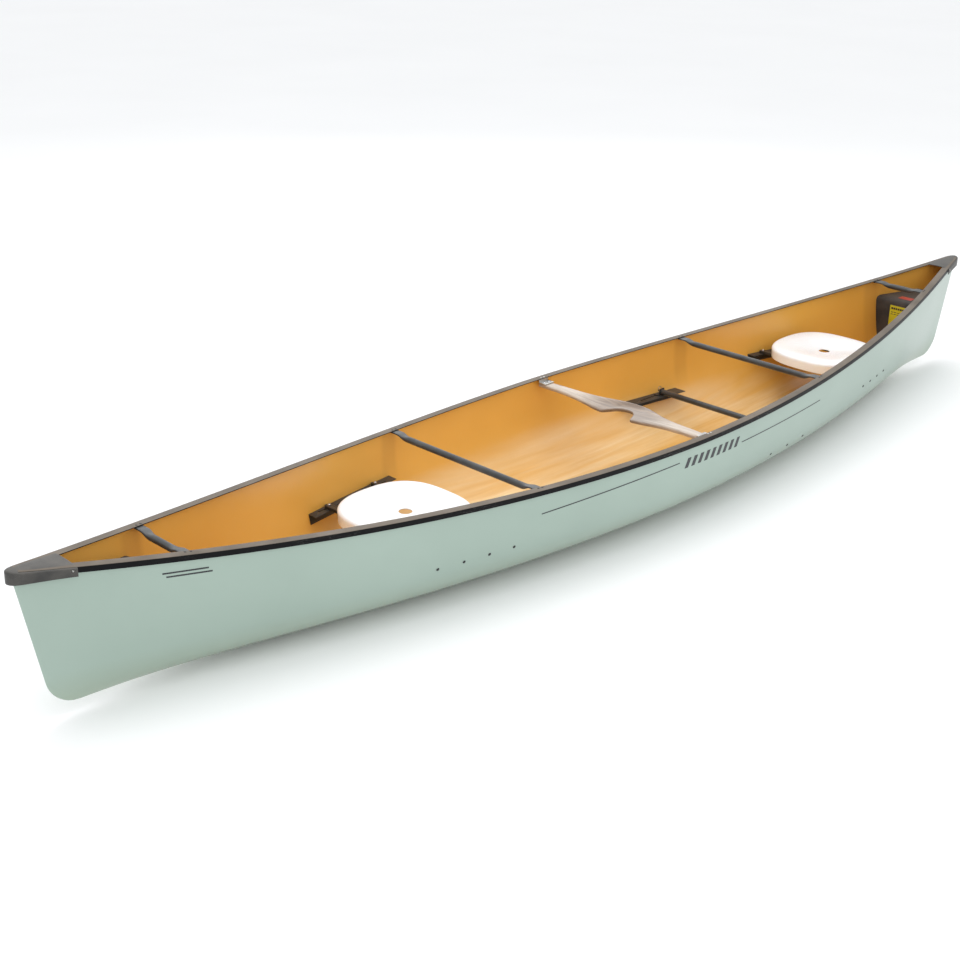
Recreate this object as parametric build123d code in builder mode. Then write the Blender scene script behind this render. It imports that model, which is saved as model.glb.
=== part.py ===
from build123d import *
from math import cos, pi, sin, sqrt
import os

# Tandem canoe. Millimetres. +X runs from stern to bow, +Y is port, +Z is up.
# The origin lies under the middle of the keel, on the surface that the hull rests on.

os.makedirs("parts", exist_ok=True)

# ---------- overall sizes ----------
hull_length = 5385.0        # between the stem heads, without the deck plates
half_beam = 453.0           # hull outer half width at the sheer, amidships
centre_depth = 373.0        # top of the gunwale amidships
end_depth = 539.0           # top of the gunwale at the stems
rocker = 40.0               # lift of the keel line at the ends
stem_rake = 0.205           # how far a stem leans back for each unit of height
forefoot = 92.0             # radius where the stem turns into the keel
nose = 14.0                 # half thickness of the stems
wall = 4.0                  # hull laminate
clearance = 0.3             # gap between separate pieces

# ---------- gunwales and deck plates ----------
rail_out = 8.0              # gunwale outside the hull
rail_in = 25.0              # inner flange, measured from the hull's outer face
rail_top = 3.3              # thickness of the gunwale's top
rail_side = 20.0            # height of the gunwale's outer side
rail_lip = 3.0              # thickness of the lip inside the hull edge
rail_lip_drop = 12.0        # height of that lip
plate_length = 185.0
plate_wall = 3.0
plate_skirt = 30.0
rivet_head = 9.0
rivet_head_height = 2.0
rivet_tail = 8.0
under_head = 0.1            # a head or a tail stands this far off what it holds
rivet_play = 0.2            # a rivet's play in its hole

# ---------- thwarts and yoke ----------
tube = 25.4
tab_width = 36.0
tab_thick = 7.0
tab_length = 42.0
tube_sink = 1.4             # top of the tube below the top of its tabs
bend_length = 7.0           # where a tab leaves the tube
carry_x = 2172.0
bow_thwart_x = 860.0
stern_thwart_x = -911.0
rivet = 5.0
yoke_x = -45.0
yoke_thick = 20.0
yoke_end_width = 64.0
yoke_drop = 18.0            # top of the yoke below the gunwale top
yoke_waist = 112.0          # how far the yoke's aft edge bows back at its middle
scoop_radius = 66.0         # neck cut-out
bracket = 3.0               # thickness of the yoke's end brackets
bracket_half = 28.0         # half their width
yoke_screw_side = 14.0      # screws this far fore and aft of the yoke's middle
yoke_screw_in = 20.0        # and this far in from its end
yoke_screw_head = 10.0
yoke_edge = 6.0             # rounding of the yoke's long edges

# ---------- seats ----------
seat_width = 450.0
seat_depth = 440.0
seat_height = 60.0
seat_corner = 175.0
seat_wall = 4.0
seat_dish = 950.0           # radius of the hollow in the seat
seat_dip = 18.0             # depth of that hollow
seat_boss_y = 130.0         # bosses that the seat's screws go into
drain = 50.0
seat_edge = 14.0            # rounding of the seat's top edge
post = 24.0                 # diameter of the bosses under the seat
screw_depth = 24.0
bar_width = 30.0
bar_thick = 12.0
bar_spacing = 263.0
seat_ahead = 25.0           # seat middle ahead of the bars' middle
bow_seat_x = 1151.0
stern_seat_x = -1540.0
bow_ledge = 205.0           # top of the bow seat's rails
stern_ledge = 222.0
bow_rail_span = (890.0, 1350.0)
stern_rail_span = (-1765.0, -1360.0)
ledge_width = 38.0
rail_leg = 38.0
angle_thick = 3.0
bolt = 6.0
bolt_gap = 0.5              # a bolt's play in its slot
washer = 15.0
washer_thick = 2.0
cap_head = 11.0
cap_height = 2.5
nut = 11.0
nut_thick = 5.0
hull_head = 12.0
seat_screw_head = 12.0
bar_end = 12.0              # the bars reach this far past their rail bolts
seat_travel = 50.0          # each way

# ---------- foot brace ----------
track_span = (-880.0, -520.0)
track_ledge = 150.0
track_width = 46.0
foot_x = -757.0
foot_tube = 25.4
foot_forward = 130.0
foot_back = 50.0
foot_end_gap = 3.0          # the bar stops this far short of its brackets' feet
foot_tube_wall = 2.0
bracket_length = 56.0
bracket_width = 22.0
bracket_plate = 4.0
pin = 6.0
pin_collar = 12.0
pin_ring = 24.0
ring_wire = 2.5

# ---------- flotation ----------
bow_block_x = 2215.0
stern_block_x = -2195.0
block_top = 392.0
block_length = 300.0
block_gap = 1.0
block_bevel = 24.0
sticker_size = (44.0, 70.0)
sticker_back = 62.0         # sticker's middle behind the stern block's face
film = 0.6

half_length = hull_length / 2
band_reach = half_length + 110   # well past the deck plates' noses


# ---------- hull form ----------
def plan(s):
    """Half width at the sheer, for a place s from -1 at the stern to 1 at the bow."""
    body = (half_beam - nose) * (1 - abs(s) ** 1.816) ** 1.042
    return body + nose * sqrt(1 - abs(s) ** 200)


def sheer(x):
    return centre_depth + (end_depth - centre_depth) * abs(x / half_length) ** 2.232


def keel(s):
    return rocker * abs(s) ** 2.137


def fullness(s):
    """Exponent of the section: boxy amidships, nearly a V at the ends."""
    return 1.49 + 1.81 * (1 - abs(s) ** 3.6)


def stem(height):
    """Distance of the stem from amidships, at a height above the keel's end."""
    depth = end_depth - rocker
    low = min(height, forefoot) / forefoot
    curve = forefoot * (1 - sqrt(max(0.0, 1 - (1 - low) ** 2)))
    return half_length - stem_rake * (depth - height) - curve


def inner_end(inset):
    """The place s at which the plan has narrowed to the inset."""
    low, high = 0.5, 1.0
    for _ in range(50):
        middle = (low + high) / 2
        low, high = (middle, high) if plan(middle) > inset else (low, middle)
    return low


def form_point(s, angle, inset):
    """A point of the hull's surface, moved in by inset. The angle is 0 at the keel."""
    n = fullness(s)
    size = (sin(angle) ** n + max(0.0, cos(angle)) ** n) ** (1 / n)
    top = sheer(s * half_length)
    drop = max(0.0, cos(angle)) / size
    end_shift = (2.5 if inset > 0 else 1.0) * inset * abs(s) ** 9
    x = s * stem((end_depth - rocker) * (1 - drop)) - (end_shift if s > 0 else -end_shift)
    grown = inset * (1.0 if inset > 0 else sqrt(1 - abs(s) ** 200))
    y = max(0.0, plan(s) - grown) * sin(angle) / size
    z = top - (top - keel(s) - inset) * drop
    return x, y, z


form_top = end_depth + 120
rows = 72
columns = 14
form_cache = {}


def half_form(inset):
    """The port half of the hull's form, solid up to form_top, with its side moved in by inset."""
    if inset in form_cache:
        return form_cache[inset]
    end = inner_end(inset) if inset > 0 else 1.0
    points = []
    for i in range(rows + 1):
        s = end * sin(pi / 2 * (2 * i / rows - 1))
        girth = [form_point(s, pi / 2 * j / columns, inset) for j in range(columns + 1)]
        if i in (0, rows):
            girth = [(x, 0.0, z) for x, y, z in girth]
        x, y, z = girth[-1]
        girth += [(x, y, z + (form_top - z) * k / 3) for k in (1, 2, 3)]
        points.append([Vector(*p) for p in girth])
    side = Face.make_surface_from_array_of_points(points, tol=0.01, min_deg=3, max_deg=5)
    flat = [e for e in side.edges() if e.bounding_box().max.Y < 0.01]
    rim = side.edges().sort_by(Axis.Z)[-1]
    closing = Edge.make_line(rim @ 0, rim @ 1)
    middle = Face(Wire(flat + [closing]))
    top = Face(Wire([rim, closing]))
    form_cache[inset] = Solid(Shell([side, middle, top]))
    return form_cache[inset]


def band(low, high, start=-band_reach, end=band_reach):
    """A slab that follows the sheer, from low to high above it, and from start to end along X."""
    steps = 24
    xs = [start + (end - start) * i / steps for i in range(steps + 1)]
    with BuildPart() as slab:
        with BuildSketch(Plane.XZ):
            with BuildLine():
                lower = Spline([(x, sheer(x) + low) for x in xs])
                upper = Spline([(x, sheer(x) + high) for x in xs])
                Line(lower @ 0, upper @ 0)
                Line(lower @ 1, upper @ 1)
            make_face()
        extrude(amount=600, both=True)
    return slab.part


def block(x0, x1, y0, y1, z0, z1):
    """A plain box between these limits, for cutting and trimming."""
    middle = ((x0 + x1) / 2, (y0 + y1) / 2, (z0 + z1) / 2)
    with BuildPart(Plane(middle)) as plain:
        Box(x1 - x0, y1 - y0, z1 - z0)
    return plain.part


def inside(x, z, inset=wall):
    """Half width inside the hull at a place x and a height z, for a surface moved in by inset."""
    s = abs(x) / half_length
    for _ in range(30):
        top = sheer(s * half_length)
        drop = min(1.0, (top - z) / (top - keel(s) - inset))
        end_shift = 2.5 * inset * s ** 9
        s = (abs(x) + end_shift) / stem((end_depth - rocker) * (1 - drop))
    n = fullness(s)
    return (plan(s) - inset) * (1 - max(0.0, drop) ** n) ** (1 / n)


def sheer_half(x, inset):
    """Half width at the sheer at a place x, for a surface moved in by inset."""
    s = abs(x) / half_length
    for _ in range(10):
        s = min(1.0, (abs(x) + (2.5 if inset > 0 else 1.0) * inset * s ** 9) / half_length)
    return plan(s) - inset


def hull_plane(x, z, side, inset):
    """A plane on the hull's side, with its z axis pointing out of the hull."""
    step = 5.0
    y = inside(x, z, inset)
    along = (inside(x + step, z, inset) - inside(x - step, z, inset)) / (2 * step)
    up = (inside(x, z + step, inset) - inside(x, z - step, inset)) / (2 * step)
    return Plane(origin=(x, side * y, z), x_dir=(1, side * along, 0), z_dir=(-along, side, -up))


def sheer_plane(x):
    """A plane on the top of the gunwales, square to the sheer."""
    slope = (sheer(x + 1) - sheer(x - 1)) / 2
    return Plane(origin=(x, 0, sheer(x)), x_dir=(1, 0, slope), z_dir=(-slope, 0, 1))


def along(start, end, count):
    return [start + (end - start) * i / (count - 1) for i in range(count)]


def finish(piece, name):
    piece.part.label = name
    export_step(piece.part, f"parts/{name}.step")
    print(name, round(piece.part.volume / 1000, 1), "cm3,", len(piece.part.solids()), "solid(s)")


# ---------- places that several pieces share ----------
hull_edge = rail_top + clearance                    # hull's edge below the gunwale top
lip_face = wall + clearance + rail_lip              # inner face of the gunwale's lip
reach_inset = lip_face + 1.0                        # thwart ends stop here
tab_top = rail_top + clearance
rivet_inset = 17.0
rivet_pitch = 18.0
thwart_xs = {
    "bow_carry_thwart": carry_x,
    "bow_thwart": bow_thwart_x,
    "stern_thwart": stern_thwart_x,
    "stern_carry_thwart": -carry_x,
}


def flange_rivets(x):
    """Planes of the rivets that hold a thwart or a yoke bracket under the gunwales."""
    places = []
    for side in (-1, 1):
        for shift in (-rivet_pitch / 2, rivet_pitch / 2):
            y = plan(min(1.0, abs(x + shift) / half_length)) - rivet_inset
            local = sheer_plane(x)
            origin = local.origin + local.x_dir * shift + Vector(0, side * y, 0)
            places.append(Plane(origin=origin, x_dir=local.x_dir, z_dir=local.z_dir))
    return places


rivet_planes = [p for x in thwart_xs.values() for p in flange_rivets(x)]
yoke_rivet_planes = flange_rivets(yoke_x)


def drilled(planes, radius, depth, above=5.0):
    """Straight drills through the planes given, for cutting holes."""
    with BuildPart(*planes) as drills:
        with Locations((0, 0, above)):
            Cylinder(radius, depth + above, align=(Align.CENTER, Align.CENTER, Align.MAX))
    return drills.part


# ---------- seat rails: where their bolts and slots go ----------
def rail_bolt_planes(span, ledge):
    xs = along(span[0] + 78, span[1] - 60, 4)
    return [hull_plane(x, ledge - 18, side, 0) for x in xs for side in (-1, 1)]


bow_bar_xs = [bow_seat_x - seat_ahead + k * bar_spacing / 2 for k in (-1, 1)]
stern_bar_xs = [stern_seat_x - seat_ahead + k * bar_spacing / 2 for k in (-1, 1)]


def slot_y(x, ledge, travel):
    """Sideways place of a bar's bolts: on the ledge over the whole travel."""
    widths = [inside(x + d, ledge) for d in (-travel, travel)]
    outer = min(widths) - angle_thick - clearance - bolt - 4
    inner = max(widths) - ledge_width + bolt
    return (outer + inner) / 2


bow_slots = [(x, slot_y(x, bow_ledge, seat_travel)) for x in bow_bar_xs]
stern_slots = [(x, slot_y(x, stern_ledge, 0.0)) for x in stern_bar_xs]
track_slot_y = (inside(foot_x - foot_back, track_ledge) - angle_thick - 3 * clearance -
                bracket_width / 2)
foot_slot = (foot_x - foot_back, foot_x + foot_forward)
track_bolt_xs = along(track_span[0] + 40, track_span[1] - 40, 3)


def track_bolt_planes():
    return [hull_plane(x, track_ledge - 17, side, 0) for x in track_bolt_xs for side in (-1, 1)]


# ---------- hull ----------
hull_bolts = (rail_bolt_planes(bow_rail_span, bow_ledge) +
              rail_bolt_planes(stern_rail_span, stern_ledge) + track_bolt_planes())
with BuildPart() as hull:
    add(half_form(0))
    add(half_form(wall), mode=Mode.SUBTRACT)
    add(band(-hull_edge, 400), mode=Mode.SUBTRACT)
    mirror(about=Plane.XZ)
    add(drilled(hull_bolts, bolt / 2 + bolt_gap, 30, 20), mode=Mode.SUBTRACT)
finish(hull, "hull")

# ---------- gunwales ----------
def trimmed(outer, inner, limit):
    """The port half of the form between two insets, trimmed to a limit. No inner means solid."""
    with BuildPart() as layer:
        add(half_form(outer))
        if inner is not None:
            add(half_form(inner), mode=Mode.SUBTRACT)
        add(limit, mode=Mode.INTERSECT)
    return layer.part


def both_sides(half):
    """A port half joined to its mirror image."""
    with BuildPart() as whole:
        add(half)
        mirror(about=Plane.XZ)
    return whole.part


with BuildPart() as gunwale_port:
    add(trimmed(-rail_out, rail_in, band(-rail_side, 0)))
    add(trimmed(-clearance, None, band(-60, -rail_top)), mode=Mode.SUBTRACT)
    add(trimmed(wall + clearance, lip_face, band(-rail_lip_drop, -rail_top)))
    add(drilled(rivet_planes + yoke_rivet_planes, rivet / 2 + rivet_play, 30), mode=Mode.SUBTRACT)
finish(gunwale_port, "gunwale_port")
with BuildPart() as gunwale_starboard:
    add(gunwale_port.part)
    mirror(about=Plane.XZ, mode=Mode.REPLACE)
finish(gunwale_starboard, "gunwale_starboard")


# ---------- deck plates ----------
plate_start = half_length - plate_length
plate_gap = rail_out + clearance
rivet_spots = [(plate_start + 22, 1), (plate_start + 22, -1)]


def plate_rivet_planes(end):
    """Planes of the rivets in a deck plate's skirts, with z pointing out."""
    planes = []
    for x, side in rivet_spots:
        y = sheer_half(x, -plate_gap - plate_wall)
        lean = (sheer_half(x + 1, -plate_gap) - sheer_half(x - 1, -plate_gap)) / 2
        origin = (end * x, side * y, sheer(x) - rail_side / 2)
        planes.append(Plane(origin=origin, x_dir=(0, 0, 1), z_dir=(-end * lean, side, 0)))
    return planes


def deck_plate(end, name):
    start, stop = sorted((end * plate_start, end * band_reach))
    with BuildPart() as plate:
        add(trimmed(-plate_gap - plate_wall, None, band(-plate_skirt, plate_wall + clearance, start, stop)))
        add(trimmed(-plate_gap, None, band(-200, clearance)), mode=Mode.SUBTRACT)
        mirror(about=Plane.XZ)
        add(drilled(plate_rivet_planes(end), rivet / 2 + rivet_play, 6, 2), mode=Mode.SUBTRACT)
    finish(plate, name)


deck_plate(1, "bow_deck_plate")
deck_plate(-1, "stern_deck_plate")

with BuildPart(*(plate_rivet_planes(1) + plate_rivet_planes(-1))) as deck_plate_rivets:
    with Locations((0, 0, under_head)):
        Cylinder(rivet_head / 2, rivet_head_height, align=(Align.CENTER, Align.CENTER, Align.MIN))
    Cylinder(rivet / 2, plate_wall, align=(Align.CENTER, Align.CENTER, Align.MAX))
    with Locations((0, 0, -under_head)):
        Cylinder(rivet / 2, 4 * under_head, align=(Align.CENTER, Align.CENTER, Align.MIN))
finish(deck_plate_rivets, "deck_plate_rivets")


# ---------- thwarts ----------
def thwart_stock(x):
    """A straight tube with flat end tabs, longer than the canoe is wide."""
    reach = plan(abs(x) / half_length)
    tab_start = reach - tab_length
    inner_start = tab_start - 5 * bend_length
    with BuildPart(sheer_plane(x)) as stock:
        with Locations((0, 0, -tab_top - tube_sink - tube / 2)):
            Cylinder(tube / 2, 2 * tab_start, rotation=(90, 0, 0))
        with Locations((0, 0, -tab_top - tab_thick / 2)):
            Box(tab_width, 2 * reach, tab_thick)
        with Locations((0, 0, -tab_top - tab_thick / 2)):
            Box(tab_width, 2 * inner_start, tab_thick * 2, mode=Mode.SUBTRACT)
        with Locations((0, 0, -tab_top - tube_sink - tube / 2)):
            Cylinder(tube / 2, 2 * inner_start + 1, rotation=(90, 0, 0))
    return stock.part


def thwart(x, name):
    """A round tube whose flattened ends lie under the gunwales' inner flanges."""
    with BuildPart() as piece:
        add(thwart_stock(x))
        add(both_sides(half_form(reach_inset)), mode=Mode.INTERSECT)
        add(drilled(flange_rivets(x), rivet / 2 + rivet_play, 30), mode=Mode.SUBTRACT)
    finish(piece, name)


for name, x in thwart_xs.items():
    thwart(x, name)


def rivets(planes, grip):
    """Domed rivets through the gunwale flange and what hangs under it."""
    with BuildPart(*planes) as group:
        with Locations((0, 0, under_head)):
            Cylinder(rivet_head / 2, rivet_head_height, align=(Align.CENTER, Align.CENTER, Align.MIN))
        Cylinder(rivet / 2, grip, align=(Align.CENTER, Align.CENTER, Align.MAX))
        with Locations((0, 0, -under_head)):
            Cylinder(rivet / 2, 4 * under_head, align=(Align.CENTER, Align.CENTER, Align.MIN))
        with Locations((0, 0, -grip)):
            Cylinder(rivet_tail / 2, rivet_head_height, align=(Align.CENTER, Align.CENTER, Align.MAX))
    return group


thwart_rivets = rivets(rivet_planes, tab_top + tab_thick + under_head)
finish(thwart_rivets, "thwart_rivets")

# ---------- yoke ----------
yoke_end_gap = 14.0         # between the yoke's end and the gunwale's lip
yoke_reach = plan(abs(yoke_x) / half_length) - lip_face - yoke_end_gap
yoke_z = sheer(yoke_x) - yoke_drop
with BuildPart() as yoke:
    with BuildSketch(Plane.XY.offset(yoke_z - yoke_thick)):
        with BuildLine():
            front = yoke_x + yoke_end_width / 2
            back = yoke_x - yoke_end_width / 2
            shoulder = front + 2
            bow_edge = Spline([(front, yoke_reach), (front - 8, yoke_reach - 60), (front + 12, 280),
                               (front + 8, 170), (shoulder + 2, scoop_radius + 22)])
            nose_arc = RadiusArc(bow_edge @ 1, (shoulder - 18, scoop_radius), 16)
            scoop = ThreePointArc(nose_arc @ 1, (shoulder - 18 - scoop_radius * 0.95, 0),
                                  (shoulder - 18, -scoop_radius))
            mirror(bow_edge, about=Plane.XZ)
            mirror(nose_arc, about=Plane.XZ)
            aft_edge = Spline([(back, yoke_reach), (back - 14, yoke_reach - 80), (back - 50, 210),
                               (back - yoke_waist + 24, 100), (back - yoke_waist + 22, 0),
                               (back - yoke_waist + 24, -100), (back - 50, -210),
                               (back - 14, -yoke_reach + 80), (back, -yoke_reach)])
            Line(bow_edge @ 0, aft_edge @ 0)
            Line((front, -yoke_reach), aft_edge @ 1)
        make_face()
    extrude(amount=yoke_thick)
    fillet(yoke.edges().filter_by(Plane.XY).filter_by(lambda e: e.length > 80), yoke_edge)
finish(yoke, "yoke")


def yoke_bracket(side, name):
    """A bent strip from under the gunwale's flange down to the top of the yoke."""
    outer = yoke_reach + 10
    x0, x1 = yoke_x - bracket_half, yoke_x + bracket_half
    top = sheer(yoke_x) - tab_top
    low = yoke_z + clearance
    inner = yoke_reach - 38
    step = yoke_reach - 3
    with BuildPart() as piece:
        for y0, y1, z0, z1 in ((step, outer, top - bracket, top), (step, step + bracket, low, top),
                               (inner, step + bracket, low, low + bracket)):
            with Locations(((x0 + x1) / 2, side * (y0 + y1) / 2, (z0 + z1) / 2)):
                Box(x1 - x0, y1 - y0, z1 - z0)
        for x in (yoke_x - yoke_screw_side, yoke_x + yoke_screw_side):
            with Locations((x, side * (yoke_reach - yoke_screw_in), low + bracket / 2)):
                Cylinder(rivet / 2 + rivet_play, bracket + 2, mode=Mode.SUBTRACT)
        add(drilled(yoke_rivet_planes, rivet / 2 + rivet_play, 8), mode=Mode.SUBTRACT)
    finish(piece, name)


yoke_bracket(1, "yoke_bracket_port")
yoke_bracket(-1, "yoke_bracket_starboard")
yoke_rivets = rivets(yoke_rivet_planes, tab_top + bracket + under_head)
finish(yoke_rivets, "yoke_rivets")

screw_spots = [(yoke_x + dx, side * (yoke_reach - yoke_screw_in))
               for dx in (-yoke_screw_side, yoke_screw_side) for side in (-1, 1)]
with BuildPart() as yoke_screws:
    with Locations(*[(x, y, yoke_z + clearance + bracket + under_head) for x, y in screw_spots]):
        Cylinder(yoke_screw_head / 2, bracket, align=(Align.CENTER, Align.CENTER, Align.MIN))
        Cylinder(rivet / 2, bracket + 2 * under_head, align=(Align.CENTER, Align.CENTER, Align.MAX))
finish(yoke_screws, "yoke_screws")


# ---------- seats ----------
def seat_blank(x, bottom, inset, height, edge):
    """The bucket's outline as a solid, with a rounded top edge and a dished top."""
    with BuildPart() as blank:
        with BuildSketch(Plane((x, 0, bottom))):
            RectangleRounded(seat_depth - 2 * inset, seat_width - 2 * inset, seat_corner - inset)
        extrude(amount=height)
        fillet(blank.edges().filter_by(lambda e: e.center().Z > bottom + height - 1), edge)
        with Locations((x, 0, bottom + height + seat_dish - seat_dip)):
            Sphere(seat_dish, mode=Mode.SUBTRACT)
    return blank.part


def seat_shell(x, bottom, name):
    """A moulded bucket: a rolled rim, a shallow dish with a drain hole, and hollow beneath."""
    bar_xs = [x - seat_ahead + k * bar_spacing / 2 for k in (-1, 1)]
    with BuildPart() as shell:
        add(seat_blank(x, bottom, 0, seat_height, seat_edge))
        add(seat_blank(x, bottom, seat_wall, seat_height - seat_wall, seat_edge - seat_wall), mode=Mode.SUBTRACT)
        for bar_x in bar_xs:
            dish = seat_height - seat_dip + ((bar_x - x) ** 2 + seat_boss_y ** 2) / (2 * seat_dish)
            height = min(dish, seat_height) - seat_wall / 2
            with Locations((bar_x, -seat_boss_y, bottom), (bar_x, seat_boss_y, bottom)):
                Cylinder(post / 2, height, align=(Align.CENTER, Align.CENTER, Align.MIN))
                Cylinder(bolt / 2 + clearance, screw_depth, mode=Mode.SUBTRACT)
        with Locations((x, 0, bottom)):
            Cylinder(drain / 2, 3 * seat_height, mode=Mode.SUBTRACT)
    finish(shell, name)


def seat_bar(x, ledge, half, name):
    """A flat cross bar on the two rails, with holes for its rail bolts and seat screws."""
    low = ledge + clearance
    with BuildPart() as bar:
        with Locations((x, 0, low + bar_thick / 2)):
            Box(bar_width, 2 * half, bar_thick)
        fillet(bar.edges().filter_by(Axis.Z), 6)
        fillet(bar.edges().filter_by(Axis.Y), 2)
        with Locations(*[(x, side * y, low) for side in (-1, 1) for y in (half - bar_end, seat_boss_y)]):
            Cylinder(bolt / 2 + clearance, 3 * bar_thick, mode=Mode.SUBTRACT)
    finish(bar, name)


def seat_bolts(slots, ledge, name):
    """Domed bolts through the bars and rails with nuts below, and the screws into the seat."""
    low = ledge - angle_thick
    high = ledge + clearance + bar_thick
    with BuildPart() as group:
        rail_spots = [(x, side * y) for x, y in slots for side in (-1, 1)]
        with Locations(*[(x, y, high + under_head) for x, y in rail_spots]):
            Cylinder(washer / 2, washer_thick, align=(Align.CENTER, Align.CENTER, Align.MIN))
        with Locations(*[(x, y, high + under_head + washer_thick) for x, y in rail_spots]):
            Cylinder(cap_head / 2, cap_height, align=(Align.CENTER, Align.CENTER, Align.MIN))
        with Locations(*[(x, y, low - 7) for x, y in rail_spots]):
            Cylinder(bolt / 2, high - low + 8, align=(Align.CENTER, Align.CENTER, Align.MIN))
        with Locations(*[(x, y, low - clearance - nut_thick) for x, y in rail_spots]):
            Cylinder(nut / 2, nut_thick, align=(Align.CENTER, Align.CENTER, Align.MIN))
        seat_spots = [(x, side * seat_boss_y) for x, _ in slots for side in (-1, 1)]
        with Locations(*[(x, y, ledge + clearance - under_head) for x, y in seat_spots]):
            Cylinder(seat_screw_head / 2, angle_thick, align=(Align.CENTER, Align.CENTER, Align.MAX))
        with Locations(*[(x, y, ledge + clearance - 2 * under_head) for x, y in seat_spots]):
            Cylinder(bolt / 2, bar_thick + 8, align=(Align.CENTER, Align.CENTER, Align.MIN))
    finish(group, name)


def seat_rail(span, ledge, slots, travel, side, name):
    """An angle that follows the hull: a leg bolted to it and a slotted ledge for the bars."""
    with BuildPart() as rail:
        angle = block(span[0], span[1], 0, 600, ledge - rail_leg, ledge)
        add(trimmed(wall + clearance, wall + clearance + ledge_width, angle))
        under = block(span[0] - 9, span[1] + 9, 0, 600, 0, ledge - angle_thick)
        add(trimmed(wall + clearance + angle_thick, None, under), mode=Mode.SUBTRACT)
        for x, y in slots:
            with BuildSketch(Plane.XY.offset(ledge + 1)):
                with Locations((x, y)):
                    SlotOverall(2 * travel + bolt + 4 * bolt_gap + 0.2, bolt + 2 * bolt_gap)
            extrude(amount=-angle_thick - 2, mode=Mode.SUBTRACT)
        drills = [p for p in rail_bolt_planes(span, ledge) if p.origin.Y > 0]
        add(drilled(drills, bolt / 2 + bolt_gap, 30, 5), mode=Mode.SUBTRACT)
        if side < 0:
            mirror(about=Plane.XZ, mode=Mode.REPLACE)
    finish(rail, name)


def depth_to(plane, inset):
    """How far below a plane on the hull's outside the surface at this inset lies."""
    depth = inset
    for _ in range(20):
        point = plane.origin - plane.z_dir * depth
        depth += abs(point.Y) - inside(point.X, point.Z, inset)
    return depth


def hull_bolt_group(planes, name):
    """Bolts through the hull: a black washer head outside, a nut inside."""
    with BuildPart() as group:
        for plane in planes:
            grip = depth_to(plane, wall + clearance + angle_thick) + 2 * clearance
            add(hull_bolt(plane, grip))
    finish(group, name)


def hull_bolt(plane, grip):
    with BuildPart(plane) as one:
        with Locations((0, 0, clearance)):
            Cylinder(hull_head / 2, cap_height, align=(Align.CENTER, Align.CENTER, Align.MIN))
        with Locations((0, 0, 0.5)):
            Cylinder(bolt / 2, grip + 8, align=(Align.CENTER, Align.CENTER, Align.MAX))
        with Locations((0, 0, -grip)):
            Cylinder(nut / 2, nut_thick, align=(Align.CENTER, Align.CENTER, Align.MAX))
    return one.part


for end, seat_x, bar_xs, slots, span, ledge, travel in (
        ("bow", bow_seat_x, bow_bar_xs, bow_slots, bow_rail_span, bow_ledge, seat_travel),
        ("stern", stern_seat_x, stern_bar_xs, stern_slots, stern_rail_span, stern_ledge, 2.0)):
    seat_shell(seat_x, ledge + 2 * clearance + bar_thick, f"{end}_seat_shell")
    for (x, y), place in zip(slots, ("rear", "front")):
        seat_bar(x, ledge, y + bar_end, f"{end}_seat_{place}_bar")
    seat_bolts(slots, ledge, f"{end}_seat_bolts")
    for side, word in ((1, "port"), (-1, "starboard")):
        seat_rail(span, ledge, slots, travel, side, f"{end}_seat_rail_{word}")
    hull_bolt_group(rail_bolt_planes(span, ledge), f"{end}_rail_bolts")

# ---------- foot brace ----------
foot_z = track_ledge + clearance + 4 + foot_tube / 2 - 2
bracket_y = track_slot_y


def foot_track(side, name):
    """An angle along the hull with a long slot and a row of round notches for the pins."""
    with BuildPart() as track:
        angle = block(track_span[0], track_span[1], 0, 600, track_ledge - 34, track_ledge)
        add(trimmed(wall + clearance, wall + clearance + track_width, angle))
        under = block(track_span[0] - 9, track_span[1] + 9, 0, 600, 0, track_ledge - angle_thick)
        add(trimmed(wall + clearance + angle_thick, None, under), mode=Mode.SUBTRACT)
        with BuildSketch(Plane.XY.offset(track_ledge + 1)):
            with Locations(((foot_slot[0] + foot_slot[1]) / 2, track_slot_y)):
                SlotOverall(foot_slot[1] - foot_slot[0] + pin + 2.2, pin + 2 * bolt_gap)
            notches = int((foot_slot[1] - foot_slot[0]) // 25) + 1
            with Locations(*[(x, track_slot_y) for x in along(foot_slot[0], foot_slot[1], notches)]):
                Circle(pin / 2 + 2.2)
        extrude(amount=-angle_thick - 2, mode=Mode.SUBTRACT)
        drills = [p for p in track_bolt_planes() if p.origin.Y > 0]
        add(drilled(drills, bolt / 2 + bolt_gap, 30, 5), mode=Mode.SUBTRACT)
        if side < 0:
            mirror(about=Plane.XZ, mode=Mode.REPLACE)
    finish(track, name)


for side, word in ((1, "port"), (-1, "starboard")):
    foot_track(side, f"foot_track_{word}")
hull_bolt_group(track_bolt_planes(), "foot_track_bolts")

bracket_low = track_ledge + clearance
brace_end = bracket_y - bracket_width / 2 - foot_end_gap
with BuildPart() as foot_bar:
    with BuildSketch(Plane.XZ.offset(-brace_end)):
        with Locations((foot_x, foot_z)):
            Circle(foot_tube / 2)
            Circle(foot_tube / 2 - foot_tube_wall, mode=Mode.SUBTRACT)
    extrude(amount=2 * brace_end)
finish(foot_bar, "foot_bar")

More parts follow.
